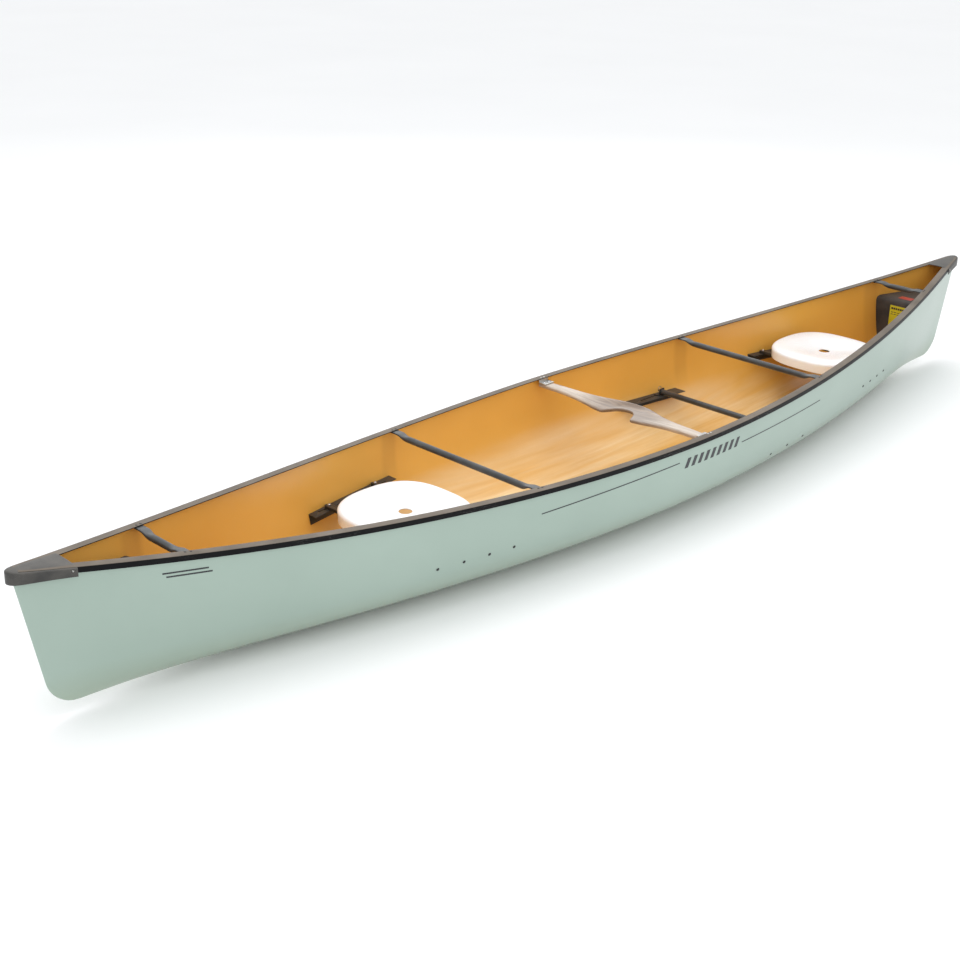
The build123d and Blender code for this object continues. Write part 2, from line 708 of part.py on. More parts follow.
for side, word in ((1, "port"), (-1, "starboard")):
    with BuildPart() as foot_bracket:
        with Locations((foot_x, side * bracket_y, bracket_low + bracket_plate / 2)):
            Box(bracket_length, bracket_width, bracket_plate)
        fillet(foot_bracket.edges().filter_by(Axis.Z), 5)
        with Locations((foot_x, side * (brace_end + clearance + bracket_plate / 2), bracket_low + 15)):
            Box(34, bracket_plate, 30)
        with Locations((foot_x, side * bracket_y, bracket_low)):
            Cylinder(pin / 2 + clearance, 4 * bracket_plate, mode=Mode.SUBTRACT)
    finish(foot_bracket, f"foot_bracket_{word}")

    with BuildPart() as foot_pin:
        with Locations((foot_x, side * bracket_y, track_ledge - angle_thick - 6)):
            Cylinder(pin / 2, 6 + angle_thick + clearance + bracket_plate + 12,
                     align=(Align.CENTER, Align.CENTER, Align.MIN))
        with Locations((foot_x, side * bracket_y, bracket_low + bracket_plate + clearance)):
            Cylinder(pin_collar / 2, 9, align=(Align.CENTER, Align.CENTER, Align.MIN))
        with BuildSketch(Plane((foot_x, side * bracket_y, bracket_low + bracket_plate + 22),
                               z_dir=(0, 1, 0))):
            Circle(pin_ring / 2)
            Circle(pin_ring / 2 - ring_wire, mode=Mode.SUBTRACT)
        extrude(amount=ring_wire / 2, both=True)
    finish(foot_pin, f"foot_pin_{word}")


# ---------- flotation ----------
def float_block(start, end, name):
    """A foam block cut to the hull's end, with its top edge bevelled towards the cockpit."""
    inward = 1 if end > start else -1
    with BuildPart() as foam:
        with BuildSketch(Plane.XZ):
            with BuildLine():
                Polyline((start, 0), (start, block_top - block_bevel),
                         (start + inward * 7, block_top - 7),
                         (start + inward * block_bevel, block_top), (end, block_top), (end, 0), close=True)
            make_face()
        extrude(amount=400, both=True)
        add(both_sides(half_form(wall + block_gap)), mode=Mode.INTERSECT)
    finish(foam, name)


float_block(bow_block_x, bow_block_x + block_length, "bow_float_block")
float_block(stern_block_x, stern_block_x - block_length, "stern_float_block")

label_width = 96.0
label_height = 112.0
label_top = 362.0
with BuildPart() as care_label:
    with BuildSketch(Plane((stern_block_x + under_head, 0, label_top - label_height / 2),
                           x_dir=(0, 1, 0), z_dir=(1, 0, 0))):
        RectangleRounded(label_width, label_height, 4)
    extrude(amount=film)
finish(care_label, "care_label")

with BuildPart() as top_sticker:
    with BuildSketch(Plane((stern_block_x - sticker_back, 0, block_top + under_head))):
        RectangleRounded(*sticker_size, 4)
    extrude(amount=film)
finish(top_sticker, "top_sticker")
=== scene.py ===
# %% [markdown]
# # A tandem canoe, piece by piece
# This lesson finishes a canoe whose hard parts already exist as a measured model. The measured
# model says where every piece is. Blender then gives each visible piece a finer mesh and a real
# finish, and never moves anything. Lengths are metres: +X is the bow, +Y is port, +Z is up.

# %% Load the measured model
from math import cos, pi, radians, sin, sqrt

import bmesh
import bpy
from mathutils import Matrix, Vector


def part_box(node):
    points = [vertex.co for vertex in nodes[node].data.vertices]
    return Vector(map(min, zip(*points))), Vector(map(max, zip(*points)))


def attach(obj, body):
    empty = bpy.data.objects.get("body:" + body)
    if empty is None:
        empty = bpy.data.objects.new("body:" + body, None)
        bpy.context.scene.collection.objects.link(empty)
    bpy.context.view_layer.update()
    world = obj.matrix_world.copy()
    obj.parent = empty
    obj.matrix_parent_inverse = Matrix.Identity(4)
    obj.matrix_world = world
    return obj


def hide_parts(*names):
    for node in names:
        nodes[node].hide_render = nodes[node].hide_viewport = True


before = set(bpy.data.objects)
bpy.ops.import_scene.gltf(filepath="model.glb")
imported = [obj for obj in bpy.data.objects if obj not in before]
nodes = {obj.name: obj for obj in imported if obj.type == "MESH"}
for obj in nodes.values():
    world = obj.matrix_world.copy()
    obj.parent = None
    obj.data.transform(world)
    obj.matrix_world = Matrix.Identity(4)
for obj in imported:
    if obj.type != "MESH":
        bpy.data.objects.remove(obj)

scene = bpy.context.scene
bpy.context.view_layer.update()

# %% [markdown]
# ## The camera and the light
# The whole boat is seen from above its port bow, a little over six metres from its middle. The
# camera is set by where it stands, which way it points, how far it tips down and how far it
# rolls. A small shift frames the boat without turning the camera.

# %% Camera
camera_place = Vector((4.5556, 3.6423, 2.4987))
camera_heading = radians(-134.811)
camera_down = radians(22.111)
camera_roll = radians(-1.109)


def camera_axes(heading, down, roll):
    """The camera's right, up and backward directions."""
    ahead = Vector((cos(heading) * cos(down), sin(heading) * cos(down), -sin(down)))
    level = Vector((sin(heading), -cos(heading), 0))
    below = ahead.cross(level)
    right = cos(roll) * level + sin(roll) * below
    lower = cos(roll) * below - sin(roll) * level
    return right, -lower, -ahead


lens = bpy.data.cameras.new("canoe_camera")
lens.lens = 57.4
lens.sensor_width = 36.0
lens.shift_x = 0.0323
lens.shift_y = -0.0252
lens.clip_end = 60.0
camera = bpy.data.objects.new("canoe_camera", lens)
scene.collection.objects.link(camera)
right, up, back = camera_axes(camera_heading, camera_down, camera_roll)
camera.matrix_world = Matrix.Translation(camera_place) @ Matrix((right, up, back)).transposed().to_4x4()
scene.camera = camera
print("camera", [round(v, 3) for v in camera_place], "lens", lens.lens)

# %% [markdown]
# Most of the light is a bright, even sky, which keeps the ground white and the shadows soft.
# Three big, weak lamps add to it: one overhead, one from the camera's side and one beyond the
# boat. They give the gunwales, the yoke and the laminate something wide to reflect.

# %% World and soft lights
scene.view_settings.view_transform = "Standard"
sky = bpy.data.worlds.new("hazy_sky")
sky.use_nodes = True
sky.node_tree.nodes["Background"].inputs["Color"].default_value = (0.97, 0.985, 1.0, 1)
sky.node_tree.nodes["Background"].inputs["Strength"].default_value = 1.0
scene.world = sky


def soft_light(name, place, target, size, power, colour=(1, 1, 1)):
    """A wide area light that faces a target."""
    data = bpy.data.lights.new(name, "AREA")
    data.shape = "RECTANGLE"
    data.size, data.size_y = size
    data.energy = power
    data.color = colour
    lamp = bpy.data.objects.new(name, data)
    scene.collection.objects.link(lamp)
    lamp.location = place
    lamp.rotation_euler = (Vector(target) - Vector(place)).to_track_quat("-Z", "Y").to_euler()
    return lamp


soft_light("overhead", (0.3, -0.6, 5.0), (0, 0, 0.3), (7.0, 4.0), 120)
soft_light("camera_side", (3.0, 6.0, 3.2), (0, 0, 0.2), (5.0, 3.0), 45, (1.0, 0.99, 0.96))
soft_light("beyond", (-4.5, -5.0, 3.4), (0, 0, 0.3), (5.0, 2.5), 40, (1.0, 0.98, 0.95))

# %% [markdown]
# ## Tools for materials
# A finish is a shader plus a few textures made from maths. Each texture effect that several
# finishes share is a node group, built once. A group takes plain numbers in and puts out masks
# and heights, and every finish places the same group with its own numbers.
#
# Shaders work in linear light, so colours chosen on a screen are converted first.


# %% A colour from the usual 0 to 255 values
def tint(red, green, blue):
    """Screen colour to the linear colour that shaders use."""
    parts = [v / 255 for v in (red, green, blue)]
    return (*[v / 12.92 if v <= 0.04045 else ((v + 0.055) / 1.055) ** 2.4 for v in parts], 1.0)


print("half grey in linear light", round(tint(128, 128, 128)[0], 3))

# %% [markdown]
# A node tree takes many lines to wire by hand. The Sheet class below adds a node, sets its inputs
# and joins its sockets in one call each, so that a finish reads like a short recipe.


# %% A small helper to lay out nodes
class Sheet:
    """A node tree with short ways to add a node, set its inputs and join sockets."""

    def __init__(self, tree):
        self.tree = tree

    def add(self, kind, **inputs):
        node = self.tree.nodes.new(kind)
        for name, value in inputs.items():
            self.put(node, name.replace("_", " "), value)
        return node

    def put(self, node, name, value):
        socket = node.inputs[name]
        if isinstance(value, bpy.types.NodeSocket):
            self.tree.links.new(value, socket)
        else:
            socket.default_value = value

    def math(self, operation, first, second=0.0, third=0.0):
        node = self.tree.nodes.new("ShaderNodeMath")
        node.operation = operation
        for socket, value in zip(node.inputs, (first, second, third)):
            if isinstance(value, bpy.types.NodeSocket):
                self.tree.links.new(value, socket)
            else:
                socket.default_value = value
        return node.outputs[0]

    def remap(self, value, low, high, to_low=0.0, to_high=1.0):
        node = self.add("ShaderNodeMapRange", Value=value)
        self.put(node, "From Min", low)
        self.put(node, "From Max", high)
        self.put(node, "To Min", to_low)
        self.put(node, "To Max", to_high)
        return node.outputs["Result"]

    def mix(self, factor, first, second, blend="MIX"):
        node = self.tree.nodes.new("ShaderNodeMix")
        node.data_type = "RGBA"
        node.blend_type = blend
        for index, value in ((0, factor), (6, first), (7, second)):
            if isinstance(value, bpy.types.NodeSocket):
                self.tree.links.new(value, node.inputs[index])
            else:
                node.inputs[index].default_value = value
        return node.outputs[2]


def group_sheet(name, inputs, outputs):
    """A new node group with float inputs (name, value) and named float outputs."""
    tree = bpy.data.node_groups.new(name, "ShaderNodeTree")
    for label, value in inputs:
        socket = tree.interface.new_socket(label, in_out="INPUT", socket_type="NodeSocketFloat")
        socket.default_value = value
    for label in outputs:
        tree.interface.new_socket(label, in_out="OUTPUT", socket_type="NodeSocketFloat")
    sheet = Sheet(tree)
    return sheet, sheet.add("NodeGroupInput"), sheet.add("NodeGroupOutput")


def place_group(sheet, tree, **inputs):
    """Puts a shared group into a material with its own numbers."""
    node = sheet.tree.nodes.new("ShaderNodeGroup")
    node.node_tree = tree
    for name, value in inputs.items():
        sheet.put(node, name.replace("_", " "), value)
    return node.outputs


print("sheet helpers", [name for name in vars(Sheet) if not name.startswith("_")])

# %% [markdown]
# **Fine grain** is an even, tiny noise: the orange peel of gelcoat, the tooth of a moulding, the
# bloom of anodising. **Drift** is the same noise, large and slow, for patches a hand wide that
# are a shade lighter or darker. One group serves both, with a different size.

# %% Node group: grain
sheet, entry, leave = group_sheet("grain", [("Size", 0.01), ("Low", 0.35), ("High", 0.65)], ["Mask"])
place = sheet.add("ShaderNodeTexCoord").outputs["Object"]
noise = sheet.add("ShaderNodeTexNoise", Vector=place, Detail=3.0)
sheet.put(noise, "Scale", sheet.math("DIVIDE", 1.0, entry.outputs["Size"]))
level = sheet.add("ShaderNodeMapRange", Value=noise.outputs["Fac"])
sheet.put(level, "From Min", entry.outputs["Low"])
sheet.put(level, "From Max", entry.outputs["High"])
sheet.put(leave, "Mask", level.outputs["Result"])
grain_group = sheet.tree
print("group", grain_group.name, [s.name for s in grain_group.interface.items_tree])

# %% [markdown]
# **Streaks** are noise stretched along one direction. Resin drags along the hull, wood grain runs
# along the yoke, and an extrusion has faint draw lines. The stretch is set per axis, so one group
# serves all three.

# %% Node group: streaks
sheet, entry, leave = group_sheet(
    "streaks", [("Along X", 1.0), ("Along Y", 20.0), ("Along Z", 20.0), ("Wander", 0.3)],
    ["Mask", "Fine"])
place = sheet.add("ShaderNodeTexCoord").outputs["Object"]
stretch = sheet.add("ShaderNodeCombineXYZ")
for axis in "XYZ":
    sheet.put(stretch, axis, entry.outputs[f"Along {axis}"])
scaled = sheet.tree.nodes.new("ShaderNodeVectorMath")
scaled.operation = "MULTIPLY"
sheet.tree.links.new(place, scaled.inputs[0])
sheet.tree.links.new(stretch.outputs[0], scaled.inputs[1])
broad = sheet.add("ShaderNodeTexNoise", Vector=scaled.outputs[0], Scale=1.0, Detail=4.0)
sheet.put(broad, "Distortion", entry.outputs["Wander"])
thin = sheet.add("ShaderNodeTexNoise", Vector=scaled.outputs[0], Scale=5.0, Detail=2.0)
sheet.put(leave, "Mask", sheet.remap(broad.outputs["Fac"], 0.32, 0.68))
sheet.put(leave, "Fine", sheet.remap(thin.outputs["Fac"], 0.3, 0.7))
streak_group = sheet.tree
print("group", streak_group.name, [s.name for s in streak_group.interface.items_tree])

# %% [markdown]
# **Weave** is cloth under resin: two sets of threads at right angles, one over the other. Two
# wave textures crossed and compared give a mask for colour and a height for bump.

# %% Node group: weave
sheet, entry, leave = group_sheet("weave", [("Thread", 0.004)], ["Mask", "Height"])
place = sheet.add("ShaderNodeTexCoord").outputs["Object"]
parts = sheet.add("ShaderNodeSeparateXYZ", Vector=place)
turns = sheet.math("DIVIDE", 2 * pi, entry.outputs["Thread"])
around = sheet.math("ADD", parts.outputs["Y"], parts.outputs["Z"])
warp = sheet.math("SINE", sheet.math("MULTIPLY", parts.outputs["X"], turns))
weft = sheet.math("SINE", sheet.math("MULTIPLY", around, turns))
crossed = sheet.math("MULTIPLY", warp, weft)
sheet.put(leave, "Mask", sheet.remap(crossed, -0.6, 0.6))
sheet.put(leave, "Height", sheet.math("ABSOLUTE", crossed))
weave_group = sheet.tree
print("group", weave_group.name, [s.name for s in weave_group.interface.items_tree])

# %% [markdown]
# **Scuffs** are the thin bright lines that landings, paddles and straps leave. Very stretched
# noise, cut to its narrowest peaks and thinned by a second noise, gives short broken lines.

# %% Node group: scuffs
sheet, entry, leave = group_sheet("scuffs", [("Size", 0.02), ("Amount", 0.5)], ["Mask"])
place = sheet.add("ShaderNodeTexCoord").outputs["Object"]
tilt = sheet.add("ShaderNodeMapping", Vector=place)
tilt.inputs["Rotation"].default_value = (0.0, 0.2, 0.05)
tilt.inputs["Scale"].default_value = (0.12, 1.0, 1.6)
lines = sheet.add("ShaderNodeTexNoise", Vector=tilt.outputs[0], Detail=5.0, Distortion=0.4)
sheet.put(lines, "Scale", sheet.math("DIVIDE", 1.0, entry.outputs["Size"]))
patch = sheet.add("ShaderNodeTexNoise", Vector=place, Scale=3.0, Detail=1.0)
ridge = sheet.math("ABSOLUTE", sheet.math("SUBTRACT", lines.outputs["Fac"], 0.5))
thin = sheet.remap(ridge, 0.0, 0.012, 1.0, 0.0)
here = sheet.remap(patch.outputs["Fac"], 0.5, 0.72)
broken = sheet.math("MULTIPLY", thin, here)
sheet.put(leave, "Mask", sheet.math("MULTIPLY", broken, entry.outputs["Amount"]))
scuff_group = sheet.tree
print("group", scuff_group.name, [s.name for s in scuff_group.interface.items_tree])

# %% [markdown]
# Every finish starts the same way: a new material, its Principled shader and the few numbers
# that don't vary over the surface, such as the weight of a clear coat.


# %% A new finish
def finish_sheet(name, **fixed):
    """A material with one Principled shader whose fixed numbers sit on its own sockets."""
    material = bpy.data.materials.new(name)
    material.use_nodes = True
    sheet = Sheet(material.node_tree)
    shader = material.node_tree.nodes["Principled BSDF"]
    for label, value in fixed.items():
        shader.inputs[label.replace("_", " ")].default_value = value
    return material, sheet, shader


def bumped(sheet, shader, height, strength, depth):
    """Feeds a height into the shader's normal."""
    bump = sheet.add("ShaderNodeBump", Height=height, Strength=strength, Distance=depth)
    sheet.put(shader, "Normal", bump.outputs["Normal"])


print("shared groups", [tree.name for tree in bpy.data.node_groups])

# %% [markdown]
# ## The finishes
# ** Gelcoat** is the coloured skin of the hull: a pale sea green, glossy under a light haze, with
# a barely visible orange peel. It is painted darker and a little olive towards the keel, a painted
# shade of the bilge's turn, and it carries long faint scuffs there.

# %% Finish: gelcoat
gelcoat, sheet, shader = finish_sheet("sea_green_gelcoat", Coat_Weight=0.35, Coat_Roughness=0.18)
drift = place_group(sheet, grain_group, Size=0.45, Low=0.3, High=0.7)["Mask"]
peel = place_group(sheet, grain_group, Size=0.004, Low=0.2, High=0.8)["Mask"]
scuffed = place_group(sheet, scuff_group, Size=0.03, Amount=0.55)["Mask"]
place = sheet.add("ShaderNodeSeparateXYZ", Vector=sheet.add("ShaderNodeTexCoord").outputs["Object"])
height = place.outputs["Z"]
# Darker and a little olive towards the keel: a painted shade of the bilge, not grime.
painted_keel_shade = sheet.remap(height, 0.16, 0.01)
colour = sheet.mix(drift, tint(151, 170, 159), tint(157, 176, 165))
colour = sheet.mix(sheet.math("MULTIPLY", painted_keel_shade, 0.5), colour, tint(154, 164, 138))
rubbed = sheet.math("MULTIPLY", scuffed, sheet.remap(height, 0.16, 0.0))
colour = sheet.mix(rubbed, colour, tint(196, 208, 199))
sheet.put(shader, "Base Color", colour)
sheet.put(shader, "Roughness", sheet.remap(sheet.math("ADD", peel, rubbed), 0.0, 1.6, 0.30, 0.5))
bumped(sheet, shader, peel, 0.05, 0.0006)
print("finish", gelcoat.name, "nodes", len(sheet.tree.nodes))

# %% [markdown]
# ** Laminate** is what shows inside: aramid cloth set in clear resin. It is honey gold, darker and
# browner up the sides, paler and milky along the floor where the resin pooled in long streaks.
# The cloth is fine, so its weave is a soft ripple in the gloss more than a pattern. Dark bands up
# the sides at each thwart are painted shadows of the thwarts.

# %% Finish: laminate
laminate, sheet, shader = finish_sheet("aramid_laminate", Coat_Weight=0.5, Coat_Roughness=0.24)
drift = place_group(sheet, grain_group, Size=0.5, Low=0.28, High=0.72)["Mask"]
cloth = place_group(sheet, weave_group, Thread=0.0052)
mottle = place_group(sheet, grain_group, Size=0.02, Low=0.3, High=0.75)["Mask"]
drag = place_group(sheet, streak_group, Along_X=0.9, Along_Y=17.0, Along_Z=6.0, Wander=0.25)
place = sheet.add("ShaderNodeSeparateXYZ", Vector=sheet.add("ShaderNodeTexCoord").outputs["Object"])
floor_share = sheet.remap(place.outputs["Z"], 0.17, 0.03)
colour = sheet.mix(drift, tint(222, 165, 68), tint(234, 178, 80))
colour = sheet.mix(sheet.math("MULTIPLY", drag["Mask"], floor_share), colour, tint(250, 224, 176))
colour = sheet.mix(sheet.math("MULTIPLY", drag["Fine"], sheet.math("MULTIPLY", floor_share, 0.35)),
                   colour, tint(214, 168, 104))
colour = sheet.mix(sheet.math("MULTIPLY", cloth["Mask"], 0.10), colour, tint(190, 134, 54))
colour = sheet.mix(sheet.math("MULTIPLY", mottle, 0.10), colour, tint(222, 178, 104))
# Dark bands up the sides at the four thwarts' places are painted shadows of the thwarts.
thwart_shadow_strength = 0.16
for thwart_shadow_x, thwart_shadow_half in ((2.20, 0.055), (0.88, 0.05), (-0.93, 0.05), (-2.16, 0.055)):
    off = sheet.math("ABSOLUTE", sheet.math("SUBTRACT", place.outputs["X"], thwart_shadow_x))
    thwart_shadow = sheet.remap(off, thwart_shadow_half, thwart_shadow_half * 0.55)
    thwart_shadow_on_side = sheet.math("MULTIPLY", thwart_shadow, sheet.remap(place.outputs["Z"], 0.12, 0.24))
    colour = sheet.mix(sheet.math("MULTIPLY", thwart_shadow_on_side, thwart_shadow_strength), colour, tint(138, 92, 42))
sheet.put(shader, "Base Color", colour)
sheet.put(shader, "Roughness", sheet.remap(sheet.math("ADD", mottle, drag["Fine"]), 0.0, 2.0, 0.30, 0.5))
bumped(sheet, shader, sheet.math("ADD", cloth["Height"], mottle), 0.12, 0.0006)
print("finish", laminate.name, "nodes", len(sheet.tree.nodes))

# %% [markdown]
# ** Black rail** is the gunwale: an extrusion with a satin black skin. Its top is painted grey, a
# painted sheen of the sky on the satin black, with draw lines along its length and small silver
# nicks.

# %% Finish: black rail
black_rail, sheet, shader = finish_sheet("black_rail", Specular_IOR_Level=0.1)
facing = sheet.add("ShaderNodeSeparateXYZ", Vector=sheet.add("ShaderNodeNewGeometry").outputs["Normal"])
painted_sheen_mask = sheet.remap(facing.outputs["Z"], 0.55, 0.98)
lines = place_group(sheet, streak_group, Along_X=2.0, Along_Y=260.0, Along_Z=260.0, Wander=0.1)
sheen_drift = place_group(sheet, grain_group, Size=0.12, Low=0.3, High=0.7)["Mask"]
nicks = place_group(sheet, scuff_group, Size=0.012, Amount=0.7)["Mask"]
# The grey on upward faces is a painted sheen of the sky, varied in patches and by draw lines.
painted_sheen_colour = sheet.mix(sheen_drift, tint(104, 95, 85), tint(126, 116, 105))
painted_sheen_colour = sheet.mix(sheet.math("MULTIPLY", lines["Fine"], 0.25), painted_sheen_colour, tint(96, 91, 85))
colour = sheet.mix(painted_sheen_mask, tint(15, 15, 17), painted_sheen_colour)
colour = sheet.mix(sheet.math("MULTIPLY", nicks, 0.5), colour, tint(150, 148, 142))
sheet.put(shader, "Base Color", colour)
sheet.put(shader, "Roughness", sheet.remap(sheet.math("ADD", lines["Mask"], painted_sheen_mask), 0.0, 2.0, 0.34, 0.52))
bumped(sheet, shader, lines["Fine"], 0.06, 0.0003)
print("finish", black_rail.name, "nodes", len(sheet.tree.nodes))

# %% [markdown]
# ** Moulded black** is the deck plates: a thick black plastic with a leathery tooth.
# **Tube black** is the thwarts and the foot bar: anodised aluminium, smoother and a
# little blue. **Bar black** is the seat bars, rails and tracks: flat black paint with worn
# patches. The bolts' black and the dark foam come from the same recipe, which also paints
# every upward face lighter, a painted light from the sky.


# %% Finishes: the other blacks
def black_finish(name, shade, worn_and_lit_colour, tooth, tooth_depth, rough, wear_and_top_light):
    """A black surface: a base shade, a worn shade in patches and nicks, painted light on its upward faces,
    and a fine tooth.
    """
    material, sheet, shader = finish_sheet(name, Coat_Weight=0.1, Coat_Roughness=0.3)
    patches = place_group(sheet, grain_group, Size=0.07, Low=0.35, High=0.75)["Mask"]
    fine = place_group(sheet, grain_group, Size=tooth, Low=0.25, High=0.75)["Mask"]
    marks = place_group(sheet, scuff_group, Size=0.01, Amount=0.8)["Mask"]
    facing = sheet.add("ShaderNodeSeparateXYZ",
                       Vector=sheet.add("ShaderNodeNewGeometry").outputs["Normal"])
    # Upward faces are mixed towards the lighter colour: painted light from the sky, added to the worn
    # patches.
    painted_top_light = sheet.math("MULTIPLY", sheet.remap(facing.outputs["Z"], 0.3, 1.0), 0.55)
    lit_and_worn_mask = sheet.math("MULTIPLY", sheet.math("ADD", patches, painted_top_light), wear_and_top_light)
    colour = sheet.mix(lit_and_worn_mask, shade, worn_and_lit_colour)
    colour = sheet.mix(sheet.math("MULTIPLY", marks, wear_and_top_light), colour, tint(140, 138, 134))
    sheet.put(shader, "Base Color", colour)
    uneven = sheet.math("ADD", fine, patches)
    sheet.put(shader, "Roughness", sheet.remap(uneven, 0.0, 2.0, rough, rough + 0.2))
    bumped(sheet, shader, fine, 0.25, tooth_depth)
    return material


moulded_black = black_finish("moulded_black", tint(40, 39, 37), tint(98, 94, 88), 0.0022, 0.0008, 0.42, 0.55)
tube_black = black_finish("tube_black", tint(38, 40, 42), tint(86, 88, 88), 0.0009, 0.0002, 0.30, 0.45)
bar_black = black_finish("bar_black", tint(33, 32, 31), tint(74, 70, 66), 0.0012, 0.0003, 0.38, 0.4)
bolt_black = black_finish("bolt_black", tint(22, 22, 23), tint(60, 60, 60), 0.001, 0.0002, 0.3, 0.3)
foam = black_finish("dark_foam", tint(40, 37, 35), tint(84, 76, 70), 0.0045, 0.0016, 0.62, 0.6)
print("black finishes", [m.name for m in (moulded_black, tube_black, bar_black, bolt_black, foam)])

# %% [markdown]
# ** Carved wood** is the yoke: a pale hardwood with its grain along its length, under varnish. Its
# middle is a darker brown.

# %% Finish: carved wood
wood, sheet, shader = finish_sheet("varnished_wood", Coat_Weight=0.55, Coat_Roughness=0.2)
fibre = place_group(sheet, streak_group, Along_X=70.0, Along_Y=3.2, Along_Z=70.0, Wander=1.1)
rings = place_group(sheet, streak_group, Along_X=24.0, Along_Y=1.4, Along_Z=30.0, Wander=1.6)
place = sheet.add("ShaderNodeSeparateXYZ", Vector=sheet.add("ShaderNodeTexCoord").outputs["Object"])
across = sheet.math("ABSOLUTE", place.outputs["Y"])
# The wood is mixed towards a darker brown near the yoke's middle.
darker_middle = sheet.remap(sheet.math("ADD", across, sheet.math("MULTIPLY", rings["Mask"], 0.06)), 0.30, 0.13)
pale_wood = sheet.mix(rings["Mask"], tint(176, 156, 136), tint(206, 190, 172))
dark_wood = sheet.mix(rings["Mask"], tint(98, 74, 52), tint(146, 119, 92))
colour = sheet.mix(darker_middle, pale_wood, dark_wood)
colour = sheet.mix(sheet.math("MULTIPLY", fibre["Fine"], 0.4), colour, tint(92, 70, 52))
sheet.put(shader, "Base Color", colour)
sheet.put(shader, "Roughness", sheet.remap(fibre["Mask"], 0.0, 1.0, 0.28, 0.42))
bumped(sheet, shader, fibre["Fine"], 0.12, 0.0004)
print("finish", wood.name, "nodes", len(sheet.tree.nodes))

# %% [markdown]
# **Bright metal** is bare aluminium and stainless steel, with fine brushing and duller patches.
# Both come from one function, which takes two colours and a roughness.


# %% Finish: bright metal
def metal_finish(name, light, dark, rough):
    """Bare brushed metal with fine lines and duller patches."""
    material, sheet, shader = finish_sheet(name, Metallic=1.0)
    brush = place_group(sheet, streak_group, Along_X=60.0, Along_Y=900.0, Along_Z=900.0, Wander=0.1)
    patches = place_group(sheet, grain_group, Size=0.02, Low=0.3, High=0.7)["Mask"]
    sheet.put(shader, "Base Color", sheet.mix(patches, light, dark))
    sheet.put(shader, "Roughness", sheet.remap(sheet.math("ADD", brush["Fine"], patches), 0.0, 2.0,
                                               rough, rough + 0.2))
    bumped(sheet, shader, brush["Fine"], 0.08, 0.0002)
    return material


aluminium = metal_finish("plain_aluminium", tint(205, 204, 200), tint(172, 171, 168), 0.28)
steel = metal_finish("bolt_steel", tint(214, 214, 216), tint(180, 180, 182), 0.16)
print("metals", aluminium.name, steel.name)

# %% [markdown]
# **White plastic** is the seats: thick, glossy and almost pure white, with faint rub marks. A
# little light goes through the surface, which softens its shadows.

# %% Finish: white plastic
white_plastic, sheet, shader = finish_sheet("white_plastic", Coat_Weight=0.4, Coat_Roughness=0.1)
shader.inputs["Subsurface Weight"].default_value = 0.05
shader.inputs["Subsurface Scale"].default_value = 0.01
swirl = place_group(sheet, grain_group, Size=0.16, Low=0.3, High=0.7)["Mask"]
tooth = place_group(sheet, grain_group, Size=0.0016, Low=0.2, High=0.8)["Mask"]
rub = place_group(sheet, scuff_group, Size=0.02, Amount=0.35)["Mask"]
colour = sheet.mix(swirl, tint(243, 245, 248), tint(249, 250, 251))
colour = sheet.mix(sheet.math("MULTIPLY", rub, 0.35), colour, tint(214, 216, 220))
sheet.put(shader, "Base Color", colour)
sheet.put(shader, "Roughness", sheet.remap(sheet.math("ADD", tooth, rub), 0.0, 2.0, 0.24, 0.42))
bumped(sheet, shader, tooth, 0.05, 0.0002)
print("finish", white_plastic.name, "nodes", len(sheet.tree.nodes))

# %% [markdown]
# **Printed film** is the labels and the lines on the hull's side. The three colours share one
# function.


# %% Finish: printed film
def film_finish(name, colour_a, colour_b):
    """A thin printed sticker: almost even, with a slightly faded drift and a soft ripple."""
    material, sheet, shader = finish_sheet(name, Coat_Weight=0.3, Coat_Roughness=0.2)
    fade = place_group(sheet, grain_group, Size=0.03, Low=0.3, High=0.7)["Mask"]
    ripple = place_group(sheet, grain_group, Size=0.006, Low=0.2, High=0.8)["Mask"]
    sheet.put(shader, "Base Color", sheet.mix(fade, colour_a, colour_b))
    sheet.put(shader, "Roughness", sheet.remap(ripple, 0.0, 1.0, 0.34, 0.5))
    bumped(sheet, shader, ripple, 0.06, 0.0003)
    return material


yellow_film = film_finish("yellow_film", tint(206, 198, 36), tint(190, 180, 30))
red_film = film_finish("red_film", tint(188, 62, 52), tint(168, 52, 46))
dark_film = film_finish("dark_film", tint(24, 26, 32), tint(34, 36, 42))
print("materials", len(bpy.data.materials))

# %% [markdown]
# ## Tools for meshes
# Most pieces here are swept or lofted: a row of points is carried along a path and the rows are
# joined into four-sided faces. One helper joins any grid of points. Edges sharper than a limit
# stay crisp, and everything else is shaded smooth.


# %% Grid to mesh
def smooth_mesh(mesh, crisp=40.0):
    """Shades a mesh smooth and keeps edges sharper than the crisp angle."""
    work = bmesh.new()
    work.from_mesh(mesh)
    bmesh.ops.remove_doubles(work, verts=work.verts, dist=0.000004)
    bmesh.ops.dissolve_degenerate(work, edges=work.edges, dist=0.000004)
    bmesh.ops.recalc_face_normals(work, faces=work.faces)
    for face in work.faces:
        face.smooth = True
    for edge in work.edges:
        edge.smooth = not (edge.is_manifold and edge.calc_face_angle(0) > radians(crisp))
    work.to_mesh(mesh)
    work.free()


def grid_faces(rows, columns, around=False, start=0):
    """Faces of a grid whose points are listed row by row. around joins the last column to the first."""
    reach = columns if around else columns - 1
    faces = []
    for i in range(rows - 1):
        for j in range(reach):
            k = (j + 1) % columns
            faces.append((start + i * columns + j, start + i * columns + k,
                          start + (i + 1) * columns + k, start + (i + 1) * columns + j))
    return faces


